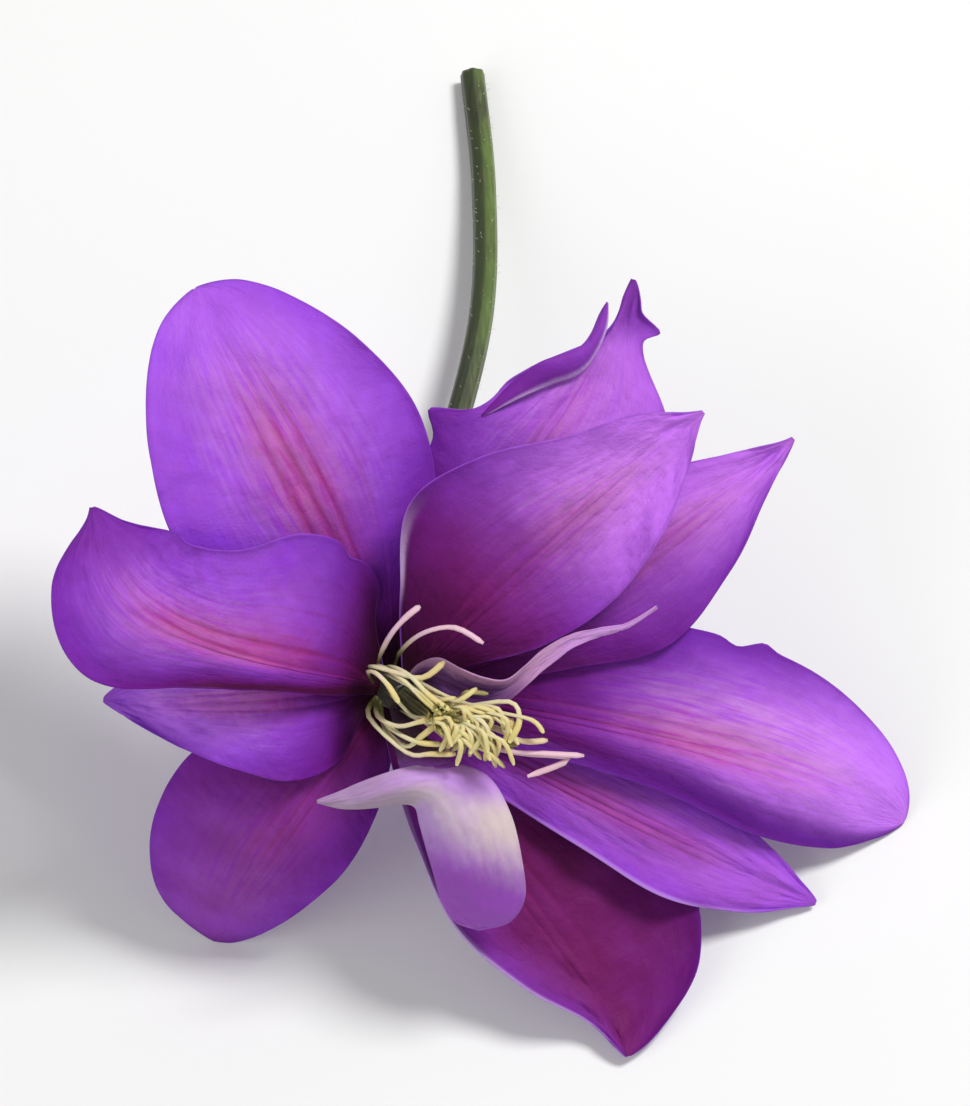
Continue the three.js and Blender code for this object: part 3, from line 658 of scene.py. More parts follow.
def petal_material():
    """Petal skin: coats of colour that follow the petal's own places and a few noises, over fine relief.
    The noises are drawn out along the petal, and its seed moves them."""
    shader = Shader("Violet petal")
    keys = ("along", "across", "back", "seed", "deep", "wine", "rim", *EVEN)
    value = {key: shader.attribute(key) for key in keys}
    along, across, deep, wine, rim, light, blush = (
        value[key] for key in ("along", "across", "deep", "wine", "rim", "light", "blush")
    )
    side, seed = across.abs(), value["seed"] * 40.0
    place = shader.place()
    cloud, patch = shader.noise(place, 60.0, 2.0), shader.noise(place, 150.0)
    skin = shader.vector(along * 58.0, across * 14.0, seed)
    fine, grain = shader.noise(skin, 0.7), shader.noise(skin, 3.2, 2.0, 0.5)
    pleat = shader.noise(shader.vector(along * 7.0, across * 12.0, seed), 1.1, 2.0, 0.5)
    streaks = shader.noise(shader.vector(along * 9.0 - side * 3.0, across * 26.0, seed), 1.0, 2.0, 0.5)

    # Where things lie: fine slanting veins, the nerves and the bar, the pale middle and the flanks with
    # their painted highlights, and the painted shade.
    slant = ((along * 60.0 - side * 18.0 + fine * 5.0) * 1.5).sin() * 0.5 + 0.5
    nerve = across.hill(0.028) + (side - 0.13).hill(0.024) * 0.85 + (side - 0.42).hill(0.018) * 0.25
    fading = 1 - along.step(0.45, 0.9)
    lines = nerve * fading * value["nerve"] * along.step(0.08, 0.2)
    band = (across + fine * 0.16 - 0.08).hill(0.26) * fading * value["bar"]
    middle = (across - value["glow_at"]).hill(0.42) * along.between(0.22, 0.45, 0.72, 0.95)
    flank_highlight = (side - 0.46).hill(0.22) * along.between(0.2, 0.45, 0.75, 1.0) * light
    tip_highlight = along * 0.9 + patch * 0.6 + pleat * 0.3 - 0.45
    # How deep the painted shade lies, partly the petal's own darker foot.
    painted_shade = deep + patch * 0.35 - 0.17
    deepest_shade = deep + patch * 0.3 - 0.15
    cool = value["cool"] * side.step(0.4, 0.85) * 0.65
    # The colours of the painted shade: wine red, plum, and blue-violet at the margins.
    shade = shader.mix(wine * 0.75, SHADE, WINE_SHADE)
    dark_shade = shader.mix(cool, shader.mix(wine, PLUM_SHADE, WINE_RED_SHADE), COOL_SHADE)
    front = shader.coats(
        VIOLET,
        # Lighter patches at random.
        ((cloud + patch * 0.6).step(0.6, 1.05) * 0.55, BRIGHT_PATCH_AND_HIGHLIGHT),
        ((patch + pleat * 0.6).step(0.65, 1.0) * 0.35, WARM_PATCH),
        # Painted highlights: streaks on the flanks, and lighter towards the tip.
        (flank_highlight * streaks.step(0.4, 0.75) * 0.55, FLANK_HIGHLIGHT),
        (tip_highlight.step(0.1, 0.9) * light, BRIGHT_PATCH_AND_HIGHLIGHT),
        (side.step(0.45, 0.95) * 0.25, BLUE_EDGE),
        (blush.step(0.0, 1.0) * (0.5 + pleat * 0.5) * 0.5, PINK_BLUSH),
        ((-blush).step(0.0, 1.0) * 0.4, BLUE_BLUSH),
        (band * (0.35 + pleat * 0.9), MAGENTA),
        # The pale pink middle, partly a painted highlight.
        (middle * value["glow"] * streaks.step(0.3, 0.65) * 0.65, PINK_HIGHLIGHT),
        (slant * pleat * (1 - along.step(0.7, 0.95)) * 0.15, DARK_NERVE),
        # Painted shade, partly the petal's own darker foot: shade, darker shade, maroon, and the throat at
        # the very foot.
        (painted_shade.step(0.0, 0.5) * 0.8, shade),
        (painted_shade.step(0.3, 0.85) * 0.9, dark_shade),
        (deepest_shade.step(0.65, 1.1) * (1 - cool) * 0.9, MAROON_SHADE),
        ((1 - along.step(0.02, 0.16)) * 0.95, THROAT_SHADE),
        (lines * (0.25 + pleat * 0.55), DARK_NERVE),
        (band * streaks.step(0.45, 0.7) * 0.3, DARK_NERVE),
        # A thin line of painted shade along the very margin.
        (side.step(0.93, 1.0) * 0.3, shade),
        # The pale rolled rim, partly a painted highlight.
        (rim, PALE_RIM_HIGHLIGHT),
    )
    rear = shader.coats(
        BACK_LILAC,
        (side.step(0.25, 0.95) * 0.85 + slant * 0.12, BACK_EDGE),
        ((across.hill(0.22) + nerve * 0.3) * (1 - along.step(0.6, 0.98)) * 0.8, BACK_GREEN),
        (rim, PALE_RIM_HIGHLIGHT),
    )
    relief = fine * 0.7 + grain * 0.18 + pleat * 0.35 + slant * 0.05 - nerve * fading * 0.3
    return shader.finish(
        Base_Color=shader.mix(value["back"], front, rear),
        Roughness=0.5 + fine * 0.16,
        Normal=shader.bump(relief, 0.0004, 0.8),
        Sheen_Weight=0.02,
        Sheen_Roughness=0.4,
        Sheen_Tint="e6c8ff",
        Specular_IOR_Level=0.1,
        Subsurface_Weight=0.1,
        Subsurface_Scale=0.0008,
        Subsurface_Radius=(1.0, 0.4, 1.0),
    )


petal_skin = petal_material()
for piece in petals:
    dress(piece, petal_skin)

# %% [markdown]
# ## The two petaloids
# In a semi-double bloom some outer stamens widen into small pale petals. The lower one is
# T-shaped: a claw rises from the foot, one lobe points left and the other arches over and down.
# The right one starts as a cup and runs out into a thin twisted ribbon. Their outlines are too
# odd for a midrib and two widths, so each is drawn between two rails, an upper and a lower edge
# given by a few points, and the surface bulges between them.

# %% Petaloids
LOWER_BLADE = dict(
    upper=[
        [-9.6, -15.2, 13.6], [-6, -13.7, 13.7], [-1.8, -12.0, 13.6], [3.0, -10.6, 13.2], [8.4, -10.2, 12.4],
        [13.4, -12.0, 11.2], [16.4, -17.0, 10.0], [17.9, -23.0, 8.6], [18.4, -28.4, 6.4], [16.4, -31.8, 4.9],
        [12.8, -32.8, 4.3],
    ],
    lower=[
        [-9.4, -15.5, 13.6], [-6, -16.3, 13.2], [-2, -16.2, 12.9], [1.8, -15.7, 12.2], [3.6, -16.2, 11.2],
        [4.2, -18.4, 10.4], [5.1, -21.8, 9.6], [6.2, -25.6, 8.4], [7.2, -29.2, 6.2], [9.0, -31.8, 4.8],
        [12.0, -32.9, 4.3],
    ],
    bulge=[0.2, 0.4, 0.7, 1.4, 2.4, 2.4, 2.0, 1.8, 1.4, 0.7, 0.1],
)
LOWER_CLAW = dict(
    upper=[[1.9, -2.2, 6.0], [3.6, -4.6, 9.0], [6.4, -8.0, 11.8], [9.4, -10.7, 12.6]],
    lower=[[0.2, -2.9, 6.4], [0.6, -5.2, 9.6], [1.0, -8.6, 12.4], [1.8, -11.7, 13.2]],
    bulge=[0.3, 0.4, 0.5, 0.4],
)
RIBBON = dict(
    upper=[
        [2.4, 1.4, 5.6], [4.2, 3.2, 8.4], [6.8, 3.9, 11.6], [9.7, 2.5, 12.6], [12.8, 1.3, 13.0],
        [15.8, 1.0, 13.2], [18.3, 2.8, 13.4], [20.2, 4.6, 13.4], [22.2, 6.0, 13.4], [24.6, 7.1, 13.3],
        [28, 7.9, 13.3], [32, 8.6, 13.4], [36.0, 10.9, 13.6],
    ],
    lower=[
        [2.8, -0.4, 5.2], [5.0, -1.0, 7.6], [7.2, -2.2, 9.8], [9.4, -3.2, 11.0], [12.4, -3.3, 11.8],
        [15.8, -2.0, 12.6], [18.5, 0.2, 13.1], [20.6, 2.1, 13.1], [22.8, 3.8, 13.1], [25, 5.4, 13.1],
        [28.2, 6.7, 13.1], [32.2, 8.0, 13.2], [36.1, 10.6, 13.4],
    ],
    bulge=[0, -0.6, -1.4, -1.9, -1.8, -1.3, -0.8, -0.5, -0.3, -0.2, 0, 0, 0],
)


def between_rails(shape, rows, columns, seed):
    """Point = upper (1 + v) / 2 + lower (1 - v) / 2, then bulge (1 - v^2) towards the eye and ripples."""
    along, across = places(rows, columns, 1, -1)
    share = (1 + across[..., None]) / 2
    grid = through(shape["upper"], along) * share + through(shape["lower"], along) * (1 - share)
    swell = through(shape["bulge"], along) * (1 - across**2)
    for height, size in ((0.12, 6), (0.05, 2)):
        swell = swell + height * ripple(along * 40, across * 6, seed, size)
    grid[..., 2] += swell
    return grid, along, across


def petaloid_piece(name, shapes, seed):
    """One or more small blades in one mesh, 0.2 to 0.42 mm thick. The later ones darken to a claw."""
    points, faces, values = [], [], {"along": [], "across": [], "claw": []}
    for shape in shapes:
        middle, along, across = between_rails(shape, rows=90, columns=34, seed=seed)
        p, f, v = blade(middle, 0.2 + 0.22 * (1 - across**2), {"along": along, "across": across})
        v["claw"] = (1 - smooth(0.65, 1, v["along"])) * (len(points) > 0)
        faces += (np.array(f) + len(p) * len(points)).tolist()
        points.append(p)
        for key in values:
            values[key].append(v[key])
    values = {key: np.concatenate(value) for key, value in values.items()}
    return make_piece(name, to_table(np.concatenate(points)), faces, values, name)


lower = petaloid_piece("petaloid_lower", [LOWER_BLADE, LOWER_CLAW], seed=31)
ribbon = petaloid_piece("petaloid_right", [RIBBON], seed=32)


# %% Petaloid material
def petaloid_material(name, pale, layers):
    """A pale blade under layers of colour. A layer has a code, a strength, and three pairs of places: it
    comes on between the first two along, goes off between the next two, and shows across the last two."""
    shader = Shader(name)
    along, across, claw = (shader.attribute(key) for key in ("along", "across", "claw"))
    skin = shader.vector(along * 30.0, across * 6.0, 3.0)
    fine = shader.noise(skin, 0.8, 4.0, 0.6)
    veins = ((across * 24.0) + fine * 6.0).sin() * 0.5 + 0.5
    slanted = along - across * 0.07 + fine * 0.08 - 0.04
    uneven = across + fine * 0.5 - 0.25
    coats = [
        (slanted.step(*comes_on) * (1 - along.step(*goes_off)) * uneven.step(*side) * strength, code)
        for code, strength, comes_on, goes_off, side in layers
    ]
    last_code = layers[-1][0]
    return shader.finish(
        Base_Color=shader.coats(pale, *coats, (veins * fine * 0.16, last_code), (claw * 0.9, "3a1c2a")),
        Roughness=0.45 + fine * 0.1,
        Normal=shader.bump(fine * 0.5 + veins * 0.15, 0.0002, 0.6),
        Sheen_Weight=0.05,
        Subsurface_Weight=0.12,
        Subsurface_Scale=0.0008,
        Specular_IOR_Level=0.3,
    )


ALWAYS, NEVER, ALL_OVER = (-2, -1), (2, 3), (-3, -2)  # places that lie off the blade
LOWER_LAYERS = [
    ("a884b2", 0.9, ALWAYS, (0.2, 0.42), ALL_OVER),
    # Grey-mauve on the lobe's lower side: painted shade.
    ("a394a0", 0.8, ALWAYS, (0.34, 0.5), (0.1, -0.9)),
    ("c890e6", 1.0, (0.12, 0.36), (0.5, 0.66), (-0.4, 0.55)),
    ("b28ad0", 0.8, (0.4, 0.5), NEVER, (-0.1, -0.8)),
    ("e2d3c6", 0.7, (0.46, 0.54), (0.64, 0.76), (-0.2, 0.5)),
    ("9648b8", 1.0, (0.54, 0.76), NEVER, ALL_OVER),
]
RIBBON_LAYERS = [
    ("7a3a92", 1.0, ALWAYS, (0.3, 0.6), (0.1, -0.85)),
    ("64347a", 1.0, ALWAYS, (0.36, 0.54), (0.95, 0.4)),
    ("cb93d6", 1.0, (0.55, 0.8), NEVER, ALL_OVER),
]
dress(lower, petaloid_material("Pale petaloid", "d8c4cf", LOWER_LAYERS))
dress(ribbon, petaloid_material("Mauve ribbon", "c090bb", RIBBON_LAYERS))

# %% [markdown]
# ## The tuft of stamens
# Nearly eighty flat, crooked filaments grow from a ring round the pistil. Each ends in a long
# anther. They are repeated, so they are all made in one array: a root on the ring, a first stretch
# up the leaning tuft, and a bend whose place and direction are random but seeded. The few that
# stand apart in the real bloom, and are seen one by one, are given by their own points.

# %% Stamens
COLLAR_TOP = 8.4
TUFT_LEAN = np.array([0.3, -0.19])
STAMEN_STEPS, CROWD_RADIUS, APART_RADIUS = 17, 0.29, 0.37


def tuft_point(height, radius, azimuth):
    """A point of the tuft: round the bloom's axis, and shifted with its height along the tuft's lean."""
    point = round_axis(azimuth, radius, height)
    above = np.maximum(0, height - COLLAR_TOP)
    shift = above * smooth(-2, 8, above)
    return point + shift[..., None] * np.array([*TUFT_LEAN, 0])


CLUSTERS = (
    dict(
        count=30, centre=[12.7, -5.3], spread=[2.7, 1.5], height=[15.6, 18.0], points=-85, fan=50, tone=0,
    ),
    dict(
        count=11, centre=[8.8, -3.8], spread=[1.8, 1.3], height=[15.3, 17.3], points=-25, fan=60, tone=0.05,
    ),
    dict(
        count=4, centre=[6.2, -5.6], spread=[1.4, 1.3], height=[14.6, 16.0], points=-10, fan=35, tone=-0.1,
    ),
    # Low olive stamens: painted shade in the depth of the tuft.
    dict(
        count=16, centre=[9.8, -4.6], spread=[2.8, 1.6], height=[12.4, 14.4], points=-40, fan=60, tone=-0.8,
    ),
)


def clustered_stamens(seed):
    """Paths through root, lower and upper bend, anther foot and tip. Anthers gather round a cluster's
    centre and point one way with some fan; each root stands on the ring on the anther's own side.
    Also each one's tone, from -1 for olive, painted shade deep in the tuft, to 1 for pink."""
    random = np.random.default_rng(seed)
    paths, tones = [], []
    for cluster in CLUSTERS:
        count = cluster["count"]
        foot = np.array(cluster["centre"]) + random.normal(0, 1, (count, 2)) * cluster["spread"]
        height = random.uniform(*cluster["height"], count)
        azimuth = np.degrees(np.arctan2(foot[:, 1] + 3.5, foot[:, 0] - 6)) + random.uniform(-60, 60, count)
        turn = np.radians(cluster["points"] + random.uniform(-1, 1, count) * cluster["fan"])
        long = random.uniform(2.3, 3.7, count)
        tip = foot + long[:, None] * np.stack([np.cos(turn), np.sin(turn)], -1)
        root = round_axis(azimuth, 2.3, 7.4)
        start = np.column_stack([foot, height])
        end = np.column_stack([tip, height + random.uniform(-1.6, 0.3, count)])
        low = root + np.array([0.8, -0.6, 3.0]) + random.normal(0, 0.3, (count, 3))
        high = low * 0.4 + start * 0.6 + np.array([0, 0, 0.8]) + random.normal(0, 0.6, (count, 3))
        paths.append(np.stack([root, low, high, start, end], 1))
        tones.append(np.full(count, cluster["tone"]))
    return np.concatenate(paths), np.concatenate(tones)


APART = np.array(
    [
        [[-1.7, 1.7, 8.0], [-1.0, 4.4, 12.0], [0.4, 7.1, 14.4], [2.3, 9.3, 15.0], [4.3, 10.9, 14.6]],
        [[0.6, 2.4, 8.0], [2.0, 5.2, 12.0], [5.0, 7.4, 14.6], [9.0, 8.0, 15.4], [12.8, 5.9, 15.6]],
        [[-1.7, 1.4, 8.2], [-2.4, 2.8, 12.2], [0.4, 2.2, 14.6], [4.6, 1.3, 16.0], [7.6, 3.5, 16.2]],
        [[-1.2, 1.8, 8.2], [0.2, 2.8, 12.5], [2.9, 1.6, 15.6], [5.4, -0.9, 16.8], [8.4, -3.1, 17.2]],
        [[-2.1, 0.6, 8.2], [-2.7, 2.0, 12.0], [-1.6, 1.9, 14.6], [0.1, 0.2, 16.0], [1.5, -2.1, 16.2]],
        [[-1.6, -1.4, 8.4], [-2.6, -4.0, 12.2], [2.5, -8.7, 14.8], [5.7, -8.9, 15.9], [9.1, -8.9, 16.2]],
        [[-1.6, -1.5, 8.4], [-1.4, -3.9, 12.6], [1.4, -5.2, 15.0], [4.6, -4.5, 16.4], [7.6, -4.0, 16.8]],
        [[-1.1, -2.0, 8.2], [-0.4, -5.6, 12.0], [2.4, -7.9, 14.6], [4.4, -6.6, 16.0], [6.4, -5.0, 16.8]],
        [[-0.9, 2.0, 8.2], [-1.2, 2.9, 12.4], [1.8, 1.2, 15.2], [4.6, -1.4, 16.6], [7.2, -3.6, 17.0]],
        [[-0.6, 2.0, 8.2], [0.2, 1.6, 12.6], [2.6, 0.4, 15.4], [4.8, -1.0, 16.6], [6.6, -2.9, 16.9]],
        [[-1.6, -1.8, 8.2], [-0.6, -4.6, 12.2], [1.8, -6.4, 14.8], [4.4, -7.4, 15.9], [7.2, -7.6, 16.3]],
        [[2.4, -1.4, 8.6], [7.0, -3.6, 13.0], [12.0, -4.1, 16.6], [13.6, -6.6, 16.8], [13.0, -9.8, 15.8]],
        [[2.6, -1.0, 8.6], [9.0, -2.6, 13.0], [16.2, -1.9, 15.4], [17.6, -4.4, 16.2], [16.2, -7.4, 16.4]],
        [[2.6, -1.4, 8.6], [9.0, -4.4, 12.6], [14.4, -5.6, 14.8], [18.0, -7.2, 14.6], [21.4, -7.1, 14.2]],
        [[2.4, -1.8, 8.6], [8.0, -5.6, 12.2], [15.8, -8.4, 13.8], [21.0, -8.9, 13.2], [26.3, -9.2, 12.2]],
        [[2.2, -2.0, 8.6], [9.0, -6.6, 11.8], [17.0, -8.8, 12.6], [24.2, -9.6, 12.2], [18.7, -12.0, 12.2]],
    ]
)
APART_TONES = np.array([1, 1, 0.2, 0.1, 0.1, 0.2, 0.05, 0.1, 0, 0.1, 0.1, 0, 0.05, 0.4, 0.9, 1.0])


def stamen_piece(paths, tones, radii):
    """Flat filaments that widen into a long anther: r = radius + 0.09 over the last third of the length."""
    paths = smooth_paths(paths, STAMEN_STEPS)
    share = np.linspace(0, 1, STAMEN_STEPS)
    thick = radii[:, None] + 0.09 * smooth(0.66, 0.78, share)
    thick = thick * np.where(share > 0.96, 0.5, 1) * np.where(share < 0.02, 0.9, 1)
    points, faces, values = tubes(paths, thick, sides=8, flat=0.62)
    values["tone"] = np.broadcast_to(tones[:, None, None], values["along"].shape)
    return make_piece("stamens", to_table(points), faces, values, "stamens")


crowd, crowd_tones = clustered_stamens(seed=5)
radii = np.repeat([CROWD_RADIUS, APART_RADIUS], [len(crowd), len(APART)])
stamens = stamen_piece(np.concatenate([crowd, APART]), np.concatenate([crowd_tones, APART_TONES]), radii)


# %% Stamen material
def stamen_material():
    """Darker olive root, partly painted shade deep in the tuft, then cream filament and butter-yellow
    anther; some are olive, painted shade in the depth of the tuft, and the outermost pink.
    """
    shader = Shader("Cream stamen")
    along, which, tone = (shader.attribute(key) for key in ("along", "which", "tone"))
    grain = shader.noise(shader.place(), 1500.0)
    shade = shader.coats(
        # A dark olive root, partly painted shade deep in the tuft.
        "4c4a20",
        (along.step(0.12, 0.42), "e2d8ac"),
        (along.step(0.6, 0.8) * (0.45 + which * 0.3), "dfcb72"),
        (tone.step(0.0, 1.0) * along.step(0.2, 0.5) * 0.9, "e6bcd2"),
        # Olive stamens: painted shade in the depth of the tuft.
        ((-tone).step(0.0, 1.0) * 0.8, "75702f"),
        (grain.step(0.5, 0.8) * 0.25, "b59a54"),
    )
    return shader.finish(
        Base_Color=shade,
        Roughness=0.55,
        Normal=shader.bump(grain, 0.0001, 0.5),
        Subsurface_Weight=0.15,
        Subsurface_Scale=0.0005,
    )


dress(stamens, stamen_material())

# %% [markdown]
# ## The pistil
# In the middle of the tuft stand the styles, a tight bundle that leans the same way, on the seed
# heads they will become. Each is a thin tapered tube with a slightly hooked end, so one array of
# paths makes them all, placed by the golden angle so that no two stand in a line.

# %% Pistil
STYLES, STYLE_STEPS = 34, 12
GOLDEN_ANGLE = 137.5


def style_paths(seed):
    """Each style through four points: the radius grows as sqrt(number / count), and the azimuth turns."""
    random = np.random.default_rng(seed)
    number = np.arange(STYLES)
    azimuth = GOLDEN_ANGLE * number
    radius = 1.35 * np.sqrt(number / STYLES)
    low = np.full(STYLES, 8.9)
    length = 7.4 + random.uniform(0, 1.8, STYLES)
    points = [
        tuft_point(low, radius * 0.8, azimuth),
        tuft_point(low + length * 0.5, radius * 1.05, azimuth + 10),
        tuft_point(low + length * 0.85, radius * 1.1, azimuth + 20),
        tuft_point(low + length, radius * 1.5 + 0.3, azimuth + 35),
    ]
    return smooth_paths(np.stack(points, 1), STYLE_STEPS)


styles = style_paths(seed=3)
taper = np.broadcast_to(np.linspace(0.34, 0.16, STYLE_STEPS), styles.shape[:2])
points, faces, values = tubes(styles, taper, sides=6)
pistil = make_piece("pistil", to_table(points), faces, values, "pistil")


def pistil_material():
    """Dark olive at the foot, yellow-cream and slightly silky to the tips."""
    shader = Shader("Silky style")
    silk = shader.noise(shader.place(), 1800.0, 2.0)
    shade = shader.coats(
        "3f3f1a",
        (shader.attribute("along").step(0.45, 0.95), "b3a75e"),
        (silk.step(0.5, 0.8) * 0.2, "8c8a50"),
    )
    return shader.finish(
        Base_Color=shade, Roughness=0.5, Normal=shader.bump(silk, 0.0001, 0.6), Sheen_Weight=0.1
    )


dress(pistil, pistil_material())

# %% [markdown]
# ## Stem and receptacle
# The stem is soft green wood: finely ribbed, with short hairs and a pale pith where it was cut.
# Painted shade makes it darker towards the bloom and nearly black-green on one side. It swells into
# the receptacle that carries the petals. It is a ring carried along a path, with a ribbed outline:
# radius times 1 + 0.05 cos(7 angle). The path is the same centripetal Catmull-Rom curve through the
# same points as in the solid model.

# %% Stem
STEM_ROUTE = np.array([
    [11.2, 107.4, 1.8], [12.8, 88.9, 3.5], [12.4, 66, 7], [6.4, 38, 12], [1.2, 21, 15.4], [-1.6, 9.5, 18.4],
])
STEM_RADIUS = 1.7
COLUMN = {2.5: COLUMN_RADIUS, 6.5: COLUMN_RADIUS - 0.05, 7.0: 1.5, 8.5: 1.45}  # height: radius
SIDES = 42


def centripetal(points, per_span):
    """Centripetal Catmull-Rom curve: Hermite spans whose tangents use the square roots of the chords."""
    p = np.array([2 * points[0] - points[1], *points, 2 * points[-1] - points[-2]])
    gap = np.sqrt(np.linalg.norm(np.diff(p, axis=0), axis=1))[:, None]
    a, b, c, d = p[:-3], p[1:-2], p[2:-1], p[3:]
    g0, g1, g2 = gap[:-2], gap[1:-1], gap[2:]
    leave = g1 * ((b - a) / g0 - (c - a) / (g0 + g1) + (c - b) / g1)
    arrive = g1 * ((c - b) / g1 - (d - b) / (g1 + g2) + (d - c) / g2)
    t = np.linspace(0, 1, per_span, endpoint=False)[None, :, None]
    b, c, leave, arrive = (v[:, None] for v in (b, c, leave, arrive))
    spans = (
        b * (2 * t**3 - 3 * t**2 + 1) + c * (3 * t**2 - 2 * t**3)
        + leave * (t**3 - 2 * t**2 + t) + arrive * (t**3 - t**2)
    )
    return np.concatenate([spans.reshape(-1, 3), points[-1:]])


lying = STEM_ROUTE + np.array([BLOOM_AT[0], BLOOM_AT[1], 0])
neck, column = (
    [to_table(round_axis(0, 0, height)) for height in heights] for heights in ((-5, -1), COLUMN)
)
route = centripetal(np.array([*lying, *neck]), per_span=30)
stem_line = np.concatenate([route, column])
print("stem is", round(float(np.linalg.norm(np.diff(route, axis=0), axis=1).sum())), "mm long")


def stem_surface(line):
    """Ribbed rings along the line, their two directions and their radius, which swells to the receptacle
    and narrows to the pin above it."""
    share = np.linspace(0, 1, len(line) - len(COLUMN))
    swell = STEM_RADIUS + (COLUMN_RADIUS + 0.1 - STEM_RADIUS) * smooth(0.94, 1, share) ** 1.5
    radius = np.concatenate([swell, list(COLUMN.values())])
    sideways, upwards = ring_frame(line, [1.0, 0.0, 0.0])
    turn = 2 * np.pi * np.arange(SIDES)[:, None] / SIDES
    rib = 1 + 0.05 * np.cos(7 * turn)
    ring = rib * (np.cos(turn) * sideways[:, None] + np.sin(turn) * upwards[:, None])
    return line[:, None] + radius[:, None, None] * ring, sideways, upwards, radius


def cut_end(first_ring, centre):
    """Flat rings closing the cut end, from the middle out: shares of the first ring's radius."""
    return centre + (first_ring - centre)[None] * np.array([0.04, 0.45, 0.86])[:, None, None]


rings, sideways, upwards, radius = stem_surface(stem_line)
surface = np.concatenate([cut_end(rings[0], stem_line[0]), rings])
quads = grid_quads(len(surface), SIDES, around=True).tolist()
quads += [list(range(SIDES))[::-1], [len(surface) * SIDES - SIDES + k for k in range(SIDES)]]
pith = np.concatenate([[1.0, 0.9, 0.3], np.zeros(len(rings))])
share = np.concatenate([np.zeros(3), np.linspace(0, 1, len(rings))])
outward = unit(surface - np.concatenate([stem_line[[0, 0, 0]], stem_line])[:, None])
values = {
    # Painted shade on the side away from the key light.
    "painted_shade_side": smooth(-0.6, 0.35, -outward[..., 0]),
    "pith": np.broadcast_to(pith[:, None], surface.shape[:2]),
    "along": np.broadcast_to(share[:, None], surface.shape[:2]),
}
stem = make_piece("stem", surface.reshape(-1, 3), quads, values, "stem")

# %% [markdown]
# The hairs are too fine to see one by one, but their outline softens the stem against the light.
# Each is a three-sided tapered bar of a few faces, at a random place on the stem. Those that would
# reach into the table are left out.

# %% Stem hairs
HAIRS, LOWEST_TIP = 420, 0.15
random = np.random.default_rng(9)
place = random.integers(4, len(stem_line) - 5, HAIRS)
turn = random.uniform(0, 2 * np.pi, HAIRS)
out = np.cos(turn)[:, None] * sideways[place] + np.sin(turn)[:, None] * upwards[place]
low = stem_line[place] + out * (radius[place, None] * 0.96)
lean = random.normal(0, 0.25, (HAIRS, 3))
reach = random.uniform(0.35, 0.7, HAIRS)[:, None]
high_enough = (low + (out + lean) * reach)[:, 2] > LOWEST_TIP
low, out, lean, reach = (v[high_enough] for v in (low, out, lean, reach))
paths = np.stack([low, low + (out + 0.5 * lean) * reach * 0.5, low + (out + lean) * reach], 1)
thin = np.broadcast_to([0.05, 0.035, 0.012], paths.shape[:2])
points, faces, values = tubes(paths, thin, sides=3)
hairs = make_piece("stem_hairs", points, faces, {}, None)


# %% Stem material
def stem_material():
    """Olive green with lighter ribs and a pale pith at the cut; painted shade makes it darker towards the
    bloom and nearly black-green on one side.
    """
    shader = Shader("Green stem")
    place = shader.place()
    pith, along, painted_shade_side = (shader.attribute(key) for key in ("pith", "along", "painted_shade_side"))
    drawn_out = shader.node("ShaderNodeMapping", {}, place, (0, 0, 0), (0, 0, 0), (9, 1, 9))
    grain = shader.noise(drawn_out, 220.0)
    shade = shader.coats(
        "55701f",
        (shader.noise(place, 70.0).step(0.35, 0.7), "3b431a"),
        (grain.step(0.4, 0.7) * 0.35, "7d9440"),
        # Painted shade: darker towards the bloom and nearly black-green on one side.
        (along.step(0.1, 0.6) * 0.7, "26310e"),
        (painted_shade_side * 0.85, "1c2208"),
        (along.step(0.92, 0.97) * 0.6, "8fa052"),
        (along.step(0.984, 0.988), "2b2814"),
        (pith.step(0.2, 0.8), "c9cf9a"),
    )
    return shader.finish(
        Base_Color=shade, Roughness=0.5, Normal=shader.bump(grain, 0.0002, 0.5), Sheen_Weight=0.2
    )


dress(stem, stem_material())
dress(hairs, Shader("Pale hair").finish(Base_Color="d9dcc0", Roughness=0.6))

# %% [markdown]
# ## Table, light and camera
# The flower is shown as a catalogue would show it: on a plain pale table, in soft light from a
# large source above and a weaker one beside. The camera looks down at 65 degrees, because the
# bloom is laid back from the upright pose in which it was photographed, and it is far away with a
# long lens, so that the petals keep their true proportions.

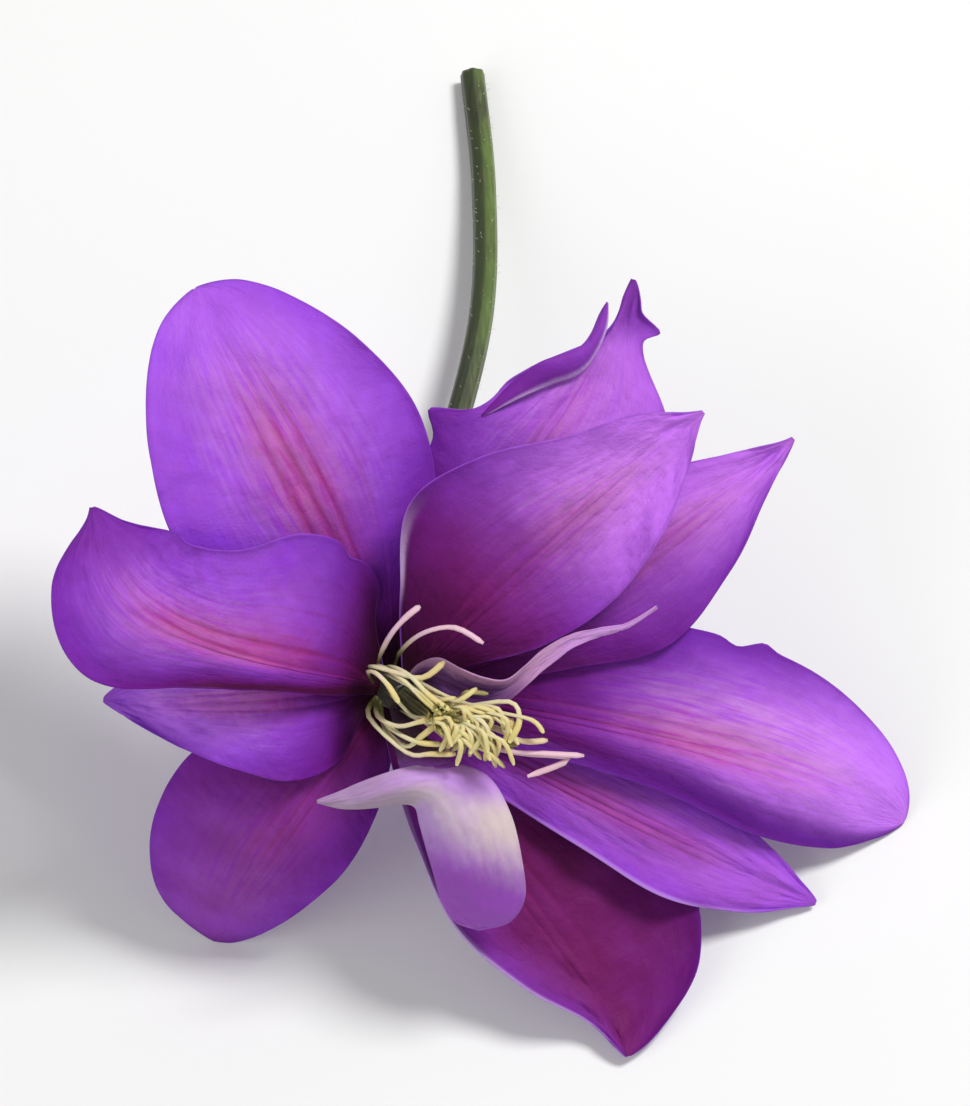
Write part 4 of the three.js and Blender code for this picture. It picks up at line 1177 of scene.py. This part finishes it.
# %% Table
def table_top():
    """A wide flat sheet at z = 0, on which the flower lies."""
    mesh = bpy.data.meshes.new("table")
    corners = [(-3, -3, 0), (3, -3, 0), (3, 3, 0), (-3, 3, 0)]
    mesh.from_pydata(corners, [], [(0, 1, 2, 3)])
    mesh.materials.append(Shader("Pale table").finish(Base_Color="f4f4f3", Roughness=0.8))
    piece = bpy.data.objects.new("table", mesh)
    bpy.context.scene.collection.objects.link(piece)


table_top()


# %% Light
def look_from(place, target):
    """A matrix whose -Z looks from place to target, with Y away over the table."""
    back = unit(np.subtract(place, target))
    right = unit(np.cross((0, 1, 0), back))
    matrix = np.eye(4)
    matrix[:3] = np.column_stack([right, np.cross(back, right), back, place])
    return Matrix(matrix.tolist())


def area_light(name, place, size, power):
    """A round white lamp of a size in metres and a power in watts, aimed at the bloom."""
    data = bpy.data.lights.new(name, "AREA")
    data.shape = "DISK"
    data.size = size
    data.energy = power
    lamp = bpy.data.objects.new(name, data)
    lamp.matrix_world = look_from(place, (0, -0.02, 0.03))
    bpy.context.scene.collection.objects.link(lamp)


area_light("key", (0.5, 0.3, 0.95), size=0.35, power=9.0)
area_light("fill", (-0.7, -0.5, 0.6), size=0.8, power=2.5)
world = bpy.data.worlds.new("studio")
bpy.context.scene.world = world
world.use_nodes = True
sky = world.node_tree.nodes["Background"].inputs
sky["Color"].default_value = (1, 1, 1, 1)
sky["Strength"].default_value = 0.36
bpy.context.scene.view_settings.view_transform = "Standard"

# %% Camera
ELEVATION = np.radians(65)
DISTANCE = 1.2
VIEW_CENTRE = [13.0, 18.0, 0.0]  # in the face frame, mm
VIEW_HEIGHT = 0.150  # metres that the picture is high
SENSOR = 24.0
target = to_table(VIEW_CENTRE) * MM
eye = target + np.array([0, -np.cos(ELEVATION), np.sin(ELEVATION)]) * DISTANCE
camera_data = bpy.data.cameras.new("camera")
camera_data.sensor_fit = "VERTICAL"
camera_data.sensor_height = SENSOR
camera_data.lens = SENSOR * DISTANCE / VIEW_HEIGHT
camera_data.clip_start = 0.01
camera = bpy.data.objects.new("camera", camera_data)
camera.matrix_world = look_from(eye, target)
bpy.context.scene.collection.objects.link(camera)
bpy.context.scene.camera = camera
print("camera at", np.round(eye, 3).tolist(), "lens", round(camera_data.lens), "mm")
